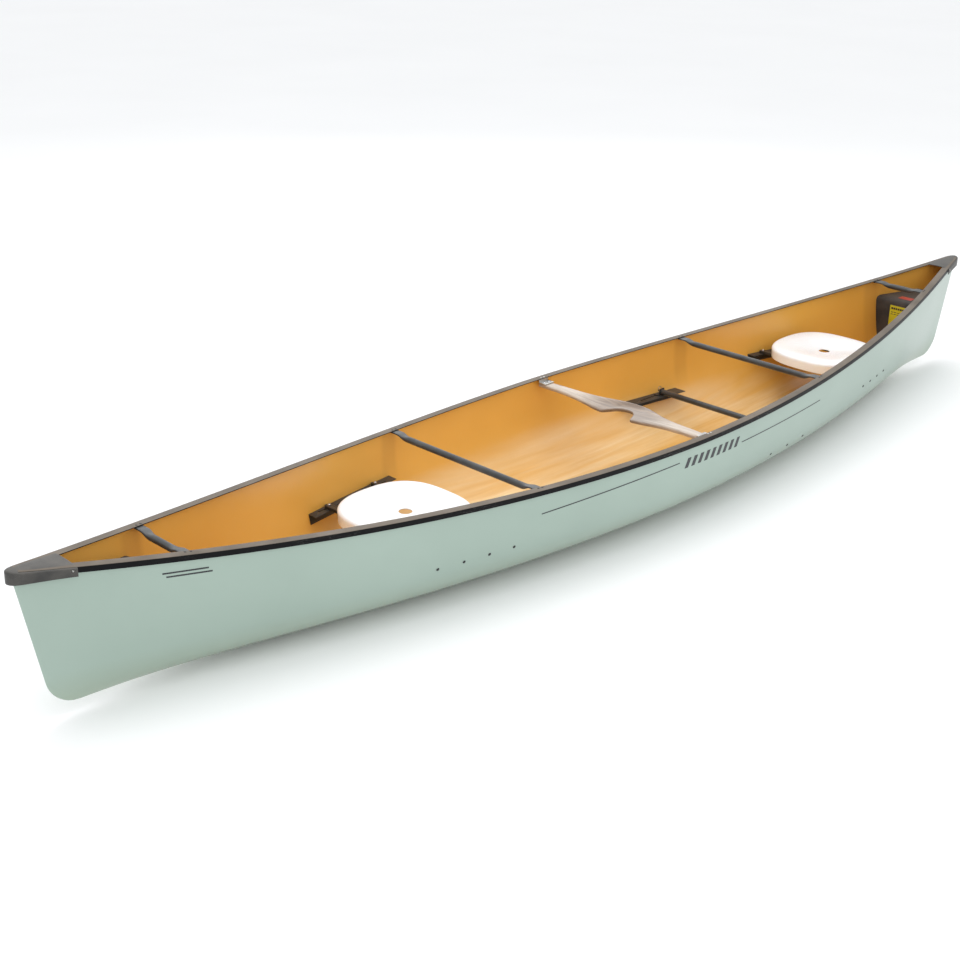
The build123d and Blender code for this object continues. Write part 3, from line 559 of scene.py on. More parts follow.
def new_piece(name, points, faces, materials, body, stands_for, crisp=40.0):
    """A mesh object that rides on a body and stands for measured nodes."""
    mesh = bpy.data.meshes.new(name)
    mesh.from_pydata([tuple(p) for p in points], [], faces)
    mesh.validate()
    smooth_mesh(mesh, crisp)
    piece = bpy.data.objects.new(name, mesh)
    scene.collection.objects.link(piece)
    for material in materials:
        mesh.materials.append(material)
    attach(piece, body)
    if stands_for:
        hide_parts(*stands_for)
    return piece


def loft(name, rings, material, body, stands_for, crisp=40.0):
    """Closed rings joined one to the next, with both ends capped."""
    count = len(rings[0])
    points = [p for ring in rings for p in ring]
    faces = grid_faces(len(rings), count, around=True)
    faces.append(tuple(reversed(range(count))))
    faces.append(tuple(range(len(points) - count, len(points))))
    return new_piece(name, points, faces, [material], body, stands_for, crisp)


print("faces of a 3 by 4 grid", len(grid_faces(3, 4)))

# %% [markdown]
# ## The hull's form
# A canoe's shape is a few curves: the sheer (the line of the gunwales), the keel line, the plan
# (half width from above) and a section that goes from boxy amidships to a V at the stems. With
# those as formulas, any point of the skin can be asked for, inside or out, which makes the hull,
# the gunwales and the deck plates all fit each other exactly.

# %% Driving values of the form
half_length = 2.6925
half_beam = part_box("hull")[1].y
centre_depth = 0.373
end_depth = 0.539
rocker = 0.040
stem_rake = 0.205
forefoot = 0.092
nose = 0.014
wall = 0.004
gap = 0.0003
hull_edge = 0.0036          # the skin's edge below the gunwale's top
nose_hold = 200             # a high power keeps the nose's width almost to the tip
stem_hold = 9               # the inner skin draws back from the stem by this power
stem_draw = 2.5             # and by this many times its inset
print("half beam from the measured hull", round(half_beam, 4))

# %% [markdown]
# Each curve is a power of the distance from amidships. The powers say how soon the boat narrows,
# how suddenly its ends sweep up and how boxy its middle is.


# %% Curves of the form
def plan(s):
    """Half width at the sheer, for a place s from -1 at the stern to 1 at the bow."""
    body = (half_beam - nose) * (1 - abs(s) ** 1.816) ** 1.042
    return body + nose * sqrt(1 - abs(s) ** nose_hold)


def sheer(x):
    """Height of the gunwale's top."""
    return centre_depth + (end_depth - centre_depth) * abs(x / half_length) ** 2.232


def keel(s):
    """Height of the keel line above the ground."""
    return rocker * abs(s) ** 2.137


def fullness(s):
    """Exponent of the section: boxy amidships, nearly a V at the ends."""
    return 1.49 + 1.81 * (1 - abs(s) ** 3.6)


def stem(height):
    """Distance of the stem from amidships, at a height above the keel's end."""
    low = min(height, forefoot) / forefoot
    curve = forefoot * (1 - sqrt(max(0.0, 1 - (1 - low) ** 2)))
    return half_length - stem_rake * (end_depth - rocker - height) - curve


def form_point(s, angle, inset=0.0):
    """A point of the port skin, moved in by inset. The angle is 0 at the keel."""
    n = fullness(s)
    size = (sin(angle) ** n + max(0.0, cos(angle)) ** n) ** (1 / n)
    drop = max(0.0, cos(angle)) / size
    top = sheer(s * half_length)
    shift = (stem_draw if inset > 0 else 1.0) * inset * abs(s) ** stem_hold
    x = s * stem((end_depth - rocker) * (1 - drop)) - (shift if s > 0 else -shift)
    grown = inset * (1.0 if inset > 0 else sqrt(1 - abs(s) ** nose_hold))
    y = max(0.0, plan(s) - grown) * sin(angle) / size
    return Vector((x, y, top - (top - keel(s) - inset) * drop))


def inner_end(inset):
    """The place s at which the plan has narrowed to the inset."""
    low, high = 0.5, 1.0
    for _ in range(50):
        middle = (low + high) / 2
        low, high = (middle, high) if plan(middle) > inset else (low, middle)
    return low


def half_width(x, z, inset=wall):
    """Half width of the skin, moved in by inset, at a place x and a height z."""
    s = abs(x) / half_length
    for _ in range(30):
        top = sheer(s * half_length)
        drop = min(1.0, (top - z) / (top - keel(s) - inset))
        drawn_x = abs(x) + stem_draw * inset * s ** stem_hold
        s = min(1.0, drawn_x / stem((end_depth - rocker) * (1 - drop)))
    n = fullness(s)
    return (plan(s) - inset) * (1 - max(0.0, drop) ** n) ** (1 / n)


print("half width amidships", round(plan(0), 4), "sheer at the stem", sheer(half_length))

# %% [markdown]
# ## Hull shell
# The hull is one thin moulding, so it is one closed mesh with two skins: gelcoat outside and
# laminate inside, joined by a narrow rim under the gunwales. A grid of stations along the length
# and points round the girth follows the formulas. Stations crowd together near the stems, where
# the shape turns fastest.

# %% Hull shell mesh
stations = 260
girth = 68


def skin_points(inset, end):
    """Grid of points from the starboard edge round the keel to the port edge, station by station."""
    points = []
    for i in range(stations + 1):
        s = end * sin(pi / 2 * (2 * i / stations - 1))
        for j in range(girth + 1):
            across = 2 * j / girth - 1
            point = form_point(s, pi / 2 * abs(across), inset)
            if j in (0, girth):
                point.z -= hull_edge
            if across < 0:
                point.y = -point.y
            points.append(point)
    return points


outer_skin = skin_points(0.0, 1.0)
inner_skin = skin_points(wall, inner_end(wall))
columns = girth + 1
faces = grid_faces(stations + 1, columns)
first_inner = len(outer_skin)
faces += [tuple(reversed(f)) for f in grid_faces(stations + 1, columns, start=first_inner)]
for i in range(stations):
    for j in (0, girth):
        a, b = i * columns + j, (i + 1) * columns + j
        faces.append((a, b, first_inner + b, first_inner + a))
hull_shell = new_piece("hull_shell", outer_skin + inner_skin, faces, [gelcoat, laminate], "hull",
                       ["hull"], crisp=55)
print("hull shell faces", len(hull_shell.data.polygons))

# %% [markdown]
# Which finish a face takes follows from which way it looks. Stand on a line that runs along the
# boat, a little above the sheer. A face that looks back at that line is laminate, and one that
# looks away from it is gelcoat.


# %% Gelcoat outside, laminate inside
look_height = 0.25          # the line's height above the sheer


def is_inside(face):
    """True if a face of the shell belongs to the inner skin."""
    middle = face.center
    outward = Vector((0.0, middle.y, middle.z - (sheer(middle.x) + look_height)))
    return face.normal.dot(outward) < 0


for face in hull_shell.data.polygons:
    face.material_index = 1 if is_inside(face) else 0
print("inside faces", sum(f.material_index for f in hull_shell.data.polygons))

# %% [markdown]
# ## Gunwales
# Each gunwale is an extruded rail pressed onto the hull's edge: an outer side, a broad top that
# reaches over the inside and a small lip that grips the laminate. The same section is carried
# along the sheer, turned at each step to face out of the hull. Its corners are short arcs, which
# is what makes a rail catch a thin line of light.

# %% Gunwale section and path
rail_out = 0.0079
rail_in = 0.0249
rail_top = 0.0033
rail_side = 0.0199
lip_low = 0.012             # bottom of the lip below the gunwale's top
lip_chamfer = 0.0005
lip_out = wall + gap
lip_in = lip_out + 0.003


def corner(out, height, turn_out, turn_height, radius, steps=4):
    """A rounded corner of a section: the arc between two directions that meet at a point."""
    points = []
    for k in range(steps + 1):
        t = k / steps
        points.append((out + turn_out[0] * radius * (1 - t) ** 2 + turn_height[0] * radius * t ** 2,
                       height + turn_out[1] * radius * (1 - t) ** 2 + turn_height[1] * radius * t ** 2))
    return points


rail_section = (
    corner(rail_out, -0.0004, (0, -1), (-1, 0), 0.0028)
    + [(-0.008, 0.0)]
    + corner(-rail_in, -0.0002, (1, 0), (0, -1), 0.0014)
    + corner(-rail_in, -rail_top, (0, 1), (1, 0), 0.0008)
    + [(-lip_in, -rail_top), (-lip_in, lip_chamfer - lip_low), (-lip_in + 0.0006, -lip_low)]
    + [(-lip_out - 0.0006, -lip_low), (-lip_out, lip_chamfer - lip_low), (-lip_out, -rail_top)]
    + [(gap, -rail_top), (gap, -rail_side)]
    + corner(rail_out, -rail_side, (-1, 0), (0, 1), 0.0014)
)


def sheer_frame(s, step=0.0008):
    """A point of the hull's edge at the sheer and the direction out of the hull there."""
    here = form_point(s, pi / 2)
    ahead = form_point(min(1.0, s + step), pi / 2)
    behind = form_point(max(-1.0, s - step), pi / 2)
    run = ahead - behind
    out = Vector((-run.y, run.x, 0)).normalized()
    return here, out if out.y > 0 else -out


rail_end = 1 - 0.020 / half_length


def gunwale(side, word):
    """One gunwale, from under the stern plate to under the bow plate."""
    rings = []
    steps = 240
    for i in range(steps + 1):
        s = rail_end * sin(pi / 2 * (2 * i / steps - 1))
        base, out = sheer_frame(s)
        ring = []
        for offset, height in rail_section:
            point = base + out * offset
            ring.append(Vector((point.x, side * max(0.0006, point.y), base.z + height)))
        rings.append(ring)
    return loft(f"gunwale_rail_{word}", rings, black_rail, "hull", [f"gunwale_{word}"],
                crisp=50)


for side, word in ((1, "port"), (-1, "starboard")):
    rail = gunwale(side, word)
    print(rail.name, "faces", len(rail.data.polygons))

# %% [markdown]
# ## Deck plates
# A deck plate is a moulded cap over the stem. Its top is nearly flat with a soft shoulder, and
# its skirt hangs outside the gunwales and grows deeper towards the nose. The plate follows the
# plan of the hull, moved out past the gunwales, so its nose is round because the stem's is.

# %% Deck plate mesh
plate_length = 0.185
plate_out = 0.0113
plate_rise = 0.0032
plate_arch = 0.00066
plate_shoulder = 0.0075
plate_skirt = 0.0295
nose_skirt = 0.0125         # extra depth of the skirt at the nose


def plate_outline(s):
    """Outline point of a deck plate and the direction out of it, seen from above."""
    here = form_point(s, pi / 2, -plate_out)
    ahead = form_point(min(1.0, s + 0.0004), pi / 2, -plate_out)
    behind = form_point(s - 0.0004, pi / 2, -plate_out)
    run = ahead - behind
    out = Vector((-run.y, run.x, 0)).normalized()
    return here, out if out.x > 0 else -out


def plate_row(s, share):
    """One row of a plate, from the port skirt's edge over the top to the starboard one."""
    here, out = plate_outline(s)
    depth = plate_skirt + nose_skirt * share ** 1.5
    side_points = []
    for k in range(5):
        side_points.append(here + Vector((0, 0, -depth + (depth - plate_shoulder) * k / 4)))
    for k in range(1, 8):
        turn = pi / 2 * k / 7
        point = here - out * plate_shoulder * (1 - cos(turn))
        side_points.append(point + Vector((0, 0, -plate_shoulder + plate_shoulder * 0.88 * sin(turn))))
    for point in side_points:
        point.y = max(0.0, point.y)
    edge = side_points[-1]
    across = []
    for k in range(1, 16):
        t = 1 - k / 8
        crown = (plate_rise + plate_arch) * (1 - abs(t) ** 2.4) * (1 - share ** 6)
        across.append(Vector((edge.x, edge.y * t, edge.z + crown)))
    mirrored = [Vector((p.x, -p.y, p.z)) for p in reversed(side_points)]
    return side_points + across + mirrored


def deck_plate(end, word):
    """A deck plate, thickened inwards from its outer face."""
    start = 1 - (plate_length - 0.0005) / half_length
    steps = 46
    rows = []
    for i in range(steps + 1):
        share = sin(pi / 2 * i / steps)
        rows.append(plate_row(start + (1 - start) * share, share))
    count = len(rows[0])
    points = [Vector((end * p.x, p.y, p.z)) for row in rows for p in row]
    plate = new_piece(f"{word}_deck_cap", points, grid_faces(steps + 1, count), [moulded_black], "hull",
                      [f"{word}_deck_plate"], crisp=60)
    skin = plate.modifiers.new("thickness", "SOLIDIFY")
    skin.thickness = 0.0029
    skin.offset = -1
    skin.use_even_offset = False
    round_edge = plate.modifiers.new("soft_edge", "BEVEL")
    round_edge.width = 0.0009
    round_edge.segments = 2
    round_edge.limit_method = "ANGLE"
    round_edge.angle_limit = radians(50)
    return plate


for end, word in ((1, "bow"), (-1, "stern")):
    plate = deck_plate(end, word)
    print(plate.name, "faces", len(plate.data.polygons))

# %% [markdown]
# ## Thwarts
# A thwart is a round tube whose two ends are pressed flat, bent up to the gunwale and riveted
# under it. A ring of points runs along the tube. Its width, thickness and height change near the
# ends, so the round part melts into the flat tab as pressed tube does.

# %% Thwart mesh
tube_radius = 0.0127
tab_half_width = 0.0180
tab_half_thick = 0.0034
tab_under = 0.0038          # top of a tab below the gunwale's top
tube_under = 0.0052
press_start = 0.105         # the pressing starts this far from the end
press_end = 0.042
press_dip = 0.0036          # the tube sags this much where it is being pressed
tab_round = 0.004           # the tab's corners are rounded over this length


def ease(value):
    """0 to 1 with a soft start and a soft end."""
    value = min(1.0, max(0.0, value))
    return value * value * (3 - 2 * value)


def sheer_slope(x, step=0.001):
    """Rise of the gunwale for each metre towards the bow."""
    return (sheer(x + step) - sheer(x - step)) / (2 * step)


def thwart(name, x, arch):
    """A thwart at a place x, arched upwards in its middle by a little."""
    slope = sheer_slope(x)
    along = Vector((1, 0, slope)).normalized()
    square_up = Vector((-slope, 0, 1)).normalized()
    reach = half_width(x, sheer(x) - 0.006, wall + 0.0046)
    rings = []
    steps = 72
    for i in range(steps + 1):
        t = sin(pi / 2 * (2 * i / steps - 1))
        y = reach * t
        from_end = reach - abs(y)
        pressed = ease((press_start - from_end) / (press_start - press_end))
        wide = tube_radius + (tab_half_width - tube_radius) * pressed
        thick = tube_radius + (tab_half_thick - tube_radius) * pressed
        rounding = 1.0 if from_end > tab_round else 0.86 + 0.14 * from_end / tab_round
        under = tube_under + (tab_under - tube_under) * pressed
        drop = press_dip * sin(pi * pressed)
        rise = arch * cos(pi / 2 * t) - under - thick - drop
        middle = Vector((x, y, sheer(x))) + square_up * rise
        power = 2.0 + 2.6 * pressed
        ring = []
        for k in range(32):
            turn = 2 * pi * k / 32
            c, d = cos(turn), sin(turn)
            across = (1 if c >= 0 else -1) * abs(c) ** (2 / power) * wide * rounding
            lift = (1 if d >= 0 else -1) * abs(d) ** (2 / power) * thick
            ring.append(middle + along * across + square_up * lift)
        rings.append(ring)
    return loft(f"{name}_tube", rings, tube_black, "hull", [name], crisp=60)


for name in ("bow_carry_thwart", "bow_thwart", "stern_thwart", "stern_carry_thwart"):
    low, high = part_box(name)
    arch = 0.003 if name == "stern_carry_thwart" else 0.0
    piece = thwart(name, (low.x + high.x) / 2, arch)
    print(piece.name, "at x", round((low.x + high.x) / 2, 3))

# %% [markdown]
# ## Yoke
# The yoke is carved from one plank. Seen from above, its bow edge sweeps out to two lobes that
# rest on the shoulders, with a deep hollow for the neck between them, and its aft edge bellies
# back. The middle is dished. Two edge curves through a few chosen points give the outline, and a
# rounded section is stretched between them.

# %% Yoke outline
yoke_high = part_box("yoke")[1]
yoke_reach = yoke_high.y
yoke_middle = (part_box("yoke_bracket_port")[0].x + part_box("yoke_bracket_port")[1].x) / 2
bow_edge_points = [(0.0, -0.044), (0.022, -0.040), (0.044, -0.020), (0.062, 0.014), (0.074, 0.038),
                   (0.084, 0.0425), (0.12, 0.041), (0.17, 0.033), (0.23, 0.027), (0.30, 0.025),
                   (0.40, 0.0265), (0.45, 0.0265)]
aft_edge_points = [(0.0, -0.112), (0.05, -0.108), (0.10, -0.092), (0.15, -0.070), (0.20, -0.053),
                   (0.25, -0.042), (0.31, -0.034), (0.40, -0.028), (0.45, -0.027)]


def through(points, place):
    """A smooth value at a place, through points listed in order, with no overshoot."""
    def slope(k):
        if k == 0 or k == len(points) - 1:
            return 0.0
        before = (points[k][1] - points[k - 1][1]) / (points[k][0] - points[k - 1][0])
        after = (points[k + 1][1] - points[k][1]) / (points[k + 1][0] - points[k][0])
        return 0.0 if before * after <= 0 else 2 * before * after / (before + after)

    k = max(i for i in range(len(points) - 1) if i == 0 or points[i][0] <= place)
    (x0, y0), (x1, y1) = points[k], points[k + 1]
    width = x1 - x0
    t = min(1.0, (place - x0) / width)
    return ((2 * t ** 3 - 3 * t ** 2 + 1) * y0 + (t ** 3 - 2 * t ** 2 + t) * width * slope(k)
            + (3 * t ** 2 - 2 * t ** 3) * y1 + (t ** 3 - t ** 2) * width * slope(k + 1))


print("bow edge ahead of the yoke's middle at the lobe", round(through(bow_edge_points, 0.08), 4))

# %% [markdown]
# Each section of the plank is a rounded box stretched between the two edge curves. Towards the
# middle it hangs a little lower and has a hollow on top.

# %% Yoke mesh
yoke_half_thick = 0.0095
yoke_dip = 0.013
yoke_hollow = 0.007
yoke_roll = 0.004
dish_reach = 0.34           # the dished middle fades out this far from the boat's middle line


def yoke_ring(y):
    """The closed section of the yoke at a place across the boat."""
    across = abs(y)
    bow_x = yoke_middle + through(bow_edge_points, across)
    aft_x = yoke_middle + through(aft_edge_points, across)
    middle_share = 1 - ease(across / dish_reach)
    centre = yoke_high.z - yoke_half_thick - 0.0006 - yoke_dip * middle_share
    half = (bow_x - aft_x) / 2
    ring = []
    for k in range(44):
        turn = 2 * pi * k / 44
        c, d = cos(turn), sin(turn)
        over = (1 if c >= 0 else -1) * abs(c) ** (2 / 5.0)
        lift = (1 if d >= 0 else -1) * abs(d) ** (2 / 3.0)
        hollow = yoke_hollow * middle_share * (1 - over ** 2) if d > 0 else 0.0
        edge_lean = yoke_roll * middle_share * over
        ring.append(Vector(((bow_x + aft_x) / 2 + half * over, y,
                            centre + yoke_half_thick * lift - hollow - edge_lean)))
    return ring


yoke_steps = 240
yoke_rings = [yoke_ring(-yoke_reach + 2 * yoke_reach * i / yoke_steps) for i in range(yoke_steps + 1)]
carved_yoke = loft("carved_yoke", yoke_rings, wood, "hull", ["yoke"], crisp=70)
print("carved yoke faces", len(carved_yoke.data.polygons))

# %% [markdown]
# ## Seats
# Each seat is a moulded bucket: a dish with a drain hole, a rolled rim and a skirt all round. The
# outline is a rounded square, a formula with a single exponent. Rings spread from the drain hole
# to the rim and then turn down into the skirt. Solidify gives the moulding its thickness, and
# posts beneath take the screws.


# %% Seat mesh
def outward_normals(piece, up):
    """Turns an open skin's faces so that the level ones above a height face upwards."""
    top = [f for f in piece.data.polygons if abs(f.normal.z) > 0.7 and f.center.z > up]
    if sum(f.normal.z for f in top) < 0:
        piece.data.flip_normals()


body_of_seat = {"bow": "bow_seat", "stern": "hull"}
drain_radius = 0.025
rim_radius = 0.015
seat_round = 2.75
seat_dip = 0.019


def seat_outline(turn, half_x, half_y):
    """Distance from the seat's middle to its outline."""
    along, across = abs(cos(turn)) / half_x, abs(sin(turn)) / half_y
    return 1 / (along ** seat_round + across ** seat_round) ** (1 / seat_round)


def seat(end):
    """A bucket seat: rings from the drain hole out to the rim and down the skirt."""
    low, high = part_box(f"{end}_seat_shell")
    middle = (low + high) / 2
    half_x, half_y = (high.x - low.x) / 2 - 0.0005, (high.y - low.y) / 2 - 0.0005
    around = 112
    dish_rings = 24
    rings = []
    for k in range(dish_rings + 1):
        share = k / dish_rings
        ring = []
        for j in range(around):
            turn = 2 * pi * j / around
            rim = seat_outline(turn, half_x, half_y) - rim_radius
            reach = drain_radius + (rim - drain_radius) * share
            rise = ease(share / 0.93)
            front_drop = 0.007 * ease(cos(turn)) * share ** 2
            height = high.z - 0.0006 - seat_dip * (1 - rise) - front_drop
            ring.append(Vector((middle.x + reach * cos(turn), reach * sin(turn), height)))
        rings.append(ring)
    for k in range(1, 8):
        fall = pi / 2 * k / 7
        ring = []
        for j, top in enumerate(rings[dish_rings]):
            turn = 2 * pi * j / around
            out = Vector((cos(turn) / half_x, sin(turn) / half_y, 0)).normalized()
            ring.append(top + out * rim_radius * sin(fall) - Vector((0, 0, rim_radius * (1 - cos(fall)))))
        rings.append(ring)
    skirt_top = rings[-1]
    for k in range(1, 5):
        rings.append([Vector((p.x + 0.003 * (middle.x - p.x) * k, p.y - 0.003 * p.y * k,
                              p.z + (low.z + 0.0006 - p.z) * k / 4)) for p in skirt_top])
    points = [p for ring in rings for p in ring]
    faces = grid_faces(len(rings), around, around=True)
    shell = new_piece(f"{end}_bucket_seat", points, faces, [white_plastic], body_of_seat[end],
                      [f"{end}_seat_shell"], crisp=60)
    outward_normals(shell, low.z)
    skin = shell.modifiers.new("thickness", "SOLIDIFY")
    skin.thickness = 0.0042
    skin.offset = -1
    soft = shell.modifiers.new("soft_edge", "BEVEL")
    soft.width = 0.0011
    soft.segments = 3
    soft.limit_method = "ANGLE"
    soft.angle_limit = radians(50)
    return shell


for end in ("bow", "stern"):
    shell = seat(end)
    print(shell.name, "rides on", body_of_seat[end], "faces", len(shell.data.polygons))

# %% [markdown]
# ## Turned fasteners
# Rivets, bolts and screws are turned shapes: a profile spun about an axis. The measured model
# says where each one is. One node holds a whole set, so the set is first split into its separate
# solids, and each solid gives a middle, an axis and two ends along that axis.


# %% Solids of a fastener node
def separate_solids(node):
    """Lists of corner points, one list for each solid of a measured node."""
    work = bmesh.new()
    work.from_mesh(nodes[node].data)
    bmesh.ops.remove_doubles(work, verts=work.verts, dist=0.000002)
    left = set(work.verts)
    solids = []
    while left:
        start = min(left, key=lambda v: v.index)
        found, edge_of = {start}, [start]
        while edge_of:
            for edge in edge_of.pop().link_edges:
                for vert in edge.verts:
                    if vert not in found:
                        found.add(vert)
                        edge_of.append(vert)
        left -= found
        solids.append([v.co.copy() for v in sorted(found, key=lambda v: v.index)])
    work.free()
    return solids


def turning_axis(points, hint):
    """Middle, axis and the two ends of a turned solid. The axis is the one nearest the hint."""
    middle = sum(points, Vector()) / len(points)
    best = hint.normalized()
    for _ in range(12):
        ahead = [p for p in points if (p - middle).dot(best) > 0]
        behind = [p for p in points if (p - middle).dot(best) <= 0]
        best = (sum(ahead, Vector()) / len(ahead) - sum(behind, Vector()) / len(behind)).normalized()
    ends = [(p - middle).dot(best) for p in points]
    return middle, best, min(ends), max(ends)


print("rivets in the thwart set", len(separate_solids("thwart_rivets")))

# %% [markdown]
# A profile lists a radius and a height for each turn of the shape, from the tip of the head down.
# A dome is a quarter of an ellipse. A nut is the one shape here that isn't round, so its ring has
# six flats.


# %% Profiles
def dome(radius, height, top):
    """Profile of a domed head, from its tip down to its rim."""
    return [(radius * sin(pi / 2 * k / 6), top - height * (1 - cos(pi / 2 * k / 6)), False)
            for k in range(7)]


def rivet_profile(low, high):
    """The profile of a rivet under a thwart's end or a bracket."""
    head = dome(0.0045, 0.0019, high) + [(0.0025, high - 0.002, False)]
    return head + [(0.0025, low + 0.0019, False), (0.0039, low + 0.0016, False),
                   (0.0036, low + 0.0003, False), (0.0, low, False)]


def short_rivet_profile(low, high):
    """The profile of a short rivet."""
    return dome(0.0045, 0.0019, high) + [(0.0025, high - 0.002, False), (0.0, low, False)]


def hull_bolt_profile(low, high):
    """The profile of a bolt through the hull's side."""
    nut_low, nut_high = low + 0.0025, low + 0.0075
    return (dome(0.006, 0.0024, high) + [(0.003, high - 0.0025, False), (0.003, nut_high, False),
            (0.0048, nut_high, True), (0.0054, nut_high - 0.0006, True), (0.0054, nut_low + 0.0006, True),
            (0.0048, nut_low, True), (0.003, nut_low, False), (0.0026, low, False), (0.0, low, False)])


def seat_bolt_profile(low, high):
    """The profile of a bolt that holds a seat."""
    nut_low, nut_high = low + 0.0017, low + 0.0067
    return (dome(0.0054, 0.0024, high)
            + [(0.0056, high - 0.0026, False), (0.0073, high - 0.0028, False), (0.0075, high - 0.0034, False),
               (0.0074, high - 0.0045, False), (0.003, high - 0.0046, False), (0.003, nut_high, False),
               (0.0048, nut_high, True), (0.0054, nut_high - 0.0006, True), (0.0054, nut_low + 0.0006, True),
               (0.0048, nut_low, True), (0.003, nut_low, False), (0.0026, low, False), (0.0, low, False)])


def screw_profile(low, high):
    """A pan-headed screw."""
    shank = [(0.003, high - 0.003, False), (0.003, low, False), (0.0, low, False)]
    return dome(0.0058, 0.0028, high) + shank


def turned(name, sets, material, body, stands_for):
    """One mesh of many turned solids. Each set entry is (middle, axis, profile)."""
    points, faces = [], []
    count = 24
    for middle, axis, profile in sets:
        side = axis.orthogonal().normalized()
        other = axis.cross(side)
        start = len(points)
        for radius, height, flats in profile:
            for k in range(count):
                turn = 2 * pi * k / count
                sixth = turn % (pi / 3) - pi / 6
                reach = radius * (cos(pi / 6) / cos(sixth) if flats else 1.0)
                points.append(middle + axis * height + (side * cos(turn) + other * sin(turn)) * reach)
        faces += grid_faces(len(profile), count, around=True, start=start)
    return new_piece(name, points, faces, [material], body, stands_for, crisp=35)


print("points in a thwart rivet's profile", len(rivet_profile(0.0, 0.016)))

# %% [markdown]
# Each set needs a rough idea of which way its heads point: upwards for those in the thwarts, the
# brackets and the yoke, and outwards for those in the boat's sides.


# %% Fasteners on the boat
def fastener_sets(node, hint, profile):
    """Places every solid of a node, with a hint of which way its head points."""
    sets = []
    for solid in separate_solids(node):
        middle, axis, low, high = turning_axis(solid, hint(solid[0]))
        sets.append((middle, axis, profile(low, high)))
    return sets


def up_hint(_):
    """Heads on top."""
    return Vector((0, 0, 1))


def side_hint(place):
    """Heads on the outside of the hull, on whichever side the place is."""
    return Vector((0, 1 if place.y > 0 else -1, -0.2))


for node, hint, profile, material, finish_slot in (
        ("thwart_rivets", up_hint, rivet_profile, bolt_black, "rivet_metal"),
        ("yoke_rivets", up_hint, rivet_profile, aluminium, "rivet_metal"),
        ("deck_plate_rivets", side_hint, short_rivet_profile, aluminium, "rivet_metal"),
        ("yoke_screws", up_hint, screw_profile, steel, "bolt_steel"),
        ("bow_rail_bolts", side_hint, hull_bolt_profile, bolt_black, "black_bolt"),
        ("stern_rail_bolts", side_hint, hull_bolt_profile, bolt_black, "black_bolt"),
        ("foot_track_bolts", side_hint, hull_bolt_profile, bolt_black, "black_bolt")):
    sets = fastener_sets(node, hint, profile)
    piece = turned(f"{node}_turned", sets, material, "hull", [node])
    print(piece.name, "faces", len(piece.data.polygons))

# %% [markdown]
# The seats' own set mixes two kinds: domed bolts that hold the bars to the rails, heads up, and
# screws that come up through the bars into the seat's posts, heads down. A solid far from the
# middle line is a bolt, and a near one is a screw.

# %% Seat bolts, screws and posts
post_limit = 0.18
post_radius = 0.012
post_hole = 0.0034
post_hole_depth = 0.02
for end in ("bow", "stern"):
    bolts, screws, posts = [], [], []
    seat_low, seat_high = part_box(f"{end}_seat_shell")
    for solid in separate_solids(f"{end}_seat_bolts"):
        if abs(solid[0].y) > post_limit:
            middle, axis, low, high = turning_axis(solid, Vector((0, 0, 1)))
            bolts.append((middle, axis, seat_bolt_profile(low, high)))
        else:
            middle, axis, low, high = turning_axis(solid, Vector((0, 0, -1)))
            screws.append((middle, axis, screw_profile(low, high)))
            foot = Vector((middle.x, middle.y, seat_low.z + 0.0003))
            height = seat_high.z - seat_low.z - seat_dip * 0.62
            posts.append((foot, Vector((0, 0, 1)), [
                (0.0, height, False), (post_radius, height, False), (post_radius, 0.001, False),
                (post_radius - 0.001, 0.0, False), (post_hole, 0.0, False),
                (post_hole, post_hole_depth, False), (0.0, post_hole_depth, False)]))
    body = body_of_seat[end]
    bolt_set = turned(f"{end}_seat_bolt_set", bolts, steel, body, [f"{end}_seat_bolts"])
    turned(f"{end}_seat_screw_set", screws, steel, body, [f"{end}_seat_bolts"])
    turned(f"{end}_seat_posts", posts, white_plastic, body, [])
    print(bolt_set.name, len(bolts), "bolts,", len(screws), "screws and posts")

# %% [markdown]
# ## Bars, rails and tracks
# These pieces already have their right shape in the measured model: flat bars, angles and bent
# strips with drilled holes and slots. What they lack is the tiny rounding every sawn and
# tumbled edge has. A copy of each mesh is cleaned, its sharp edges are bevelled by well under a
# millimetre, and the copy stands for the node.


# %% Softened copies of measured pieces
sides = ("port", "starboard")


def softened(node, body, material, width=0.0007):
    """A copy of a measured node with its sharp edges rounded a little."""
    work = bmesh.new()
    work.from_mesh(nodes[node].data)
    bmesh.ops.remove_doubles(work, verts=work.verts, dist=0.000002)
    bmesh.ops.dissolve_limit(work, angle_limit=radians(1.0), verts=work.verts, edges=work.edges)
    bmesh.ops.recalc_face_normals(work, faces=work.faces)
    sharp = [e for e in work.edges if e.is_manifold and e.calc_face_angle(0) > radians(50)]
    bmesh.ops.bevel(work, geom=sharp, offset=width, segments=2, profile=0.5, affect="EDGES",
                    clamp_overlap=True, offset_type="OFFSET")
    for face in work.faces:
        face.smooth = True
    for edge in work.edges:
        edge.smooth = not (edge.is_manifold and edge.calc_face_angle(0) > radians(38))
    mesh = bpy.data.meshes.new(f"{node}_soft")
    work.to_mesh(mesh)
    work.free()
    piece = bpy.data.objects.new(f"{node}_soft", mesh)
    scene.collection.objects.link(piece)
    mesh.materials.append(material)
    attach(piece, body)
    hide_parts(node)
    return piece


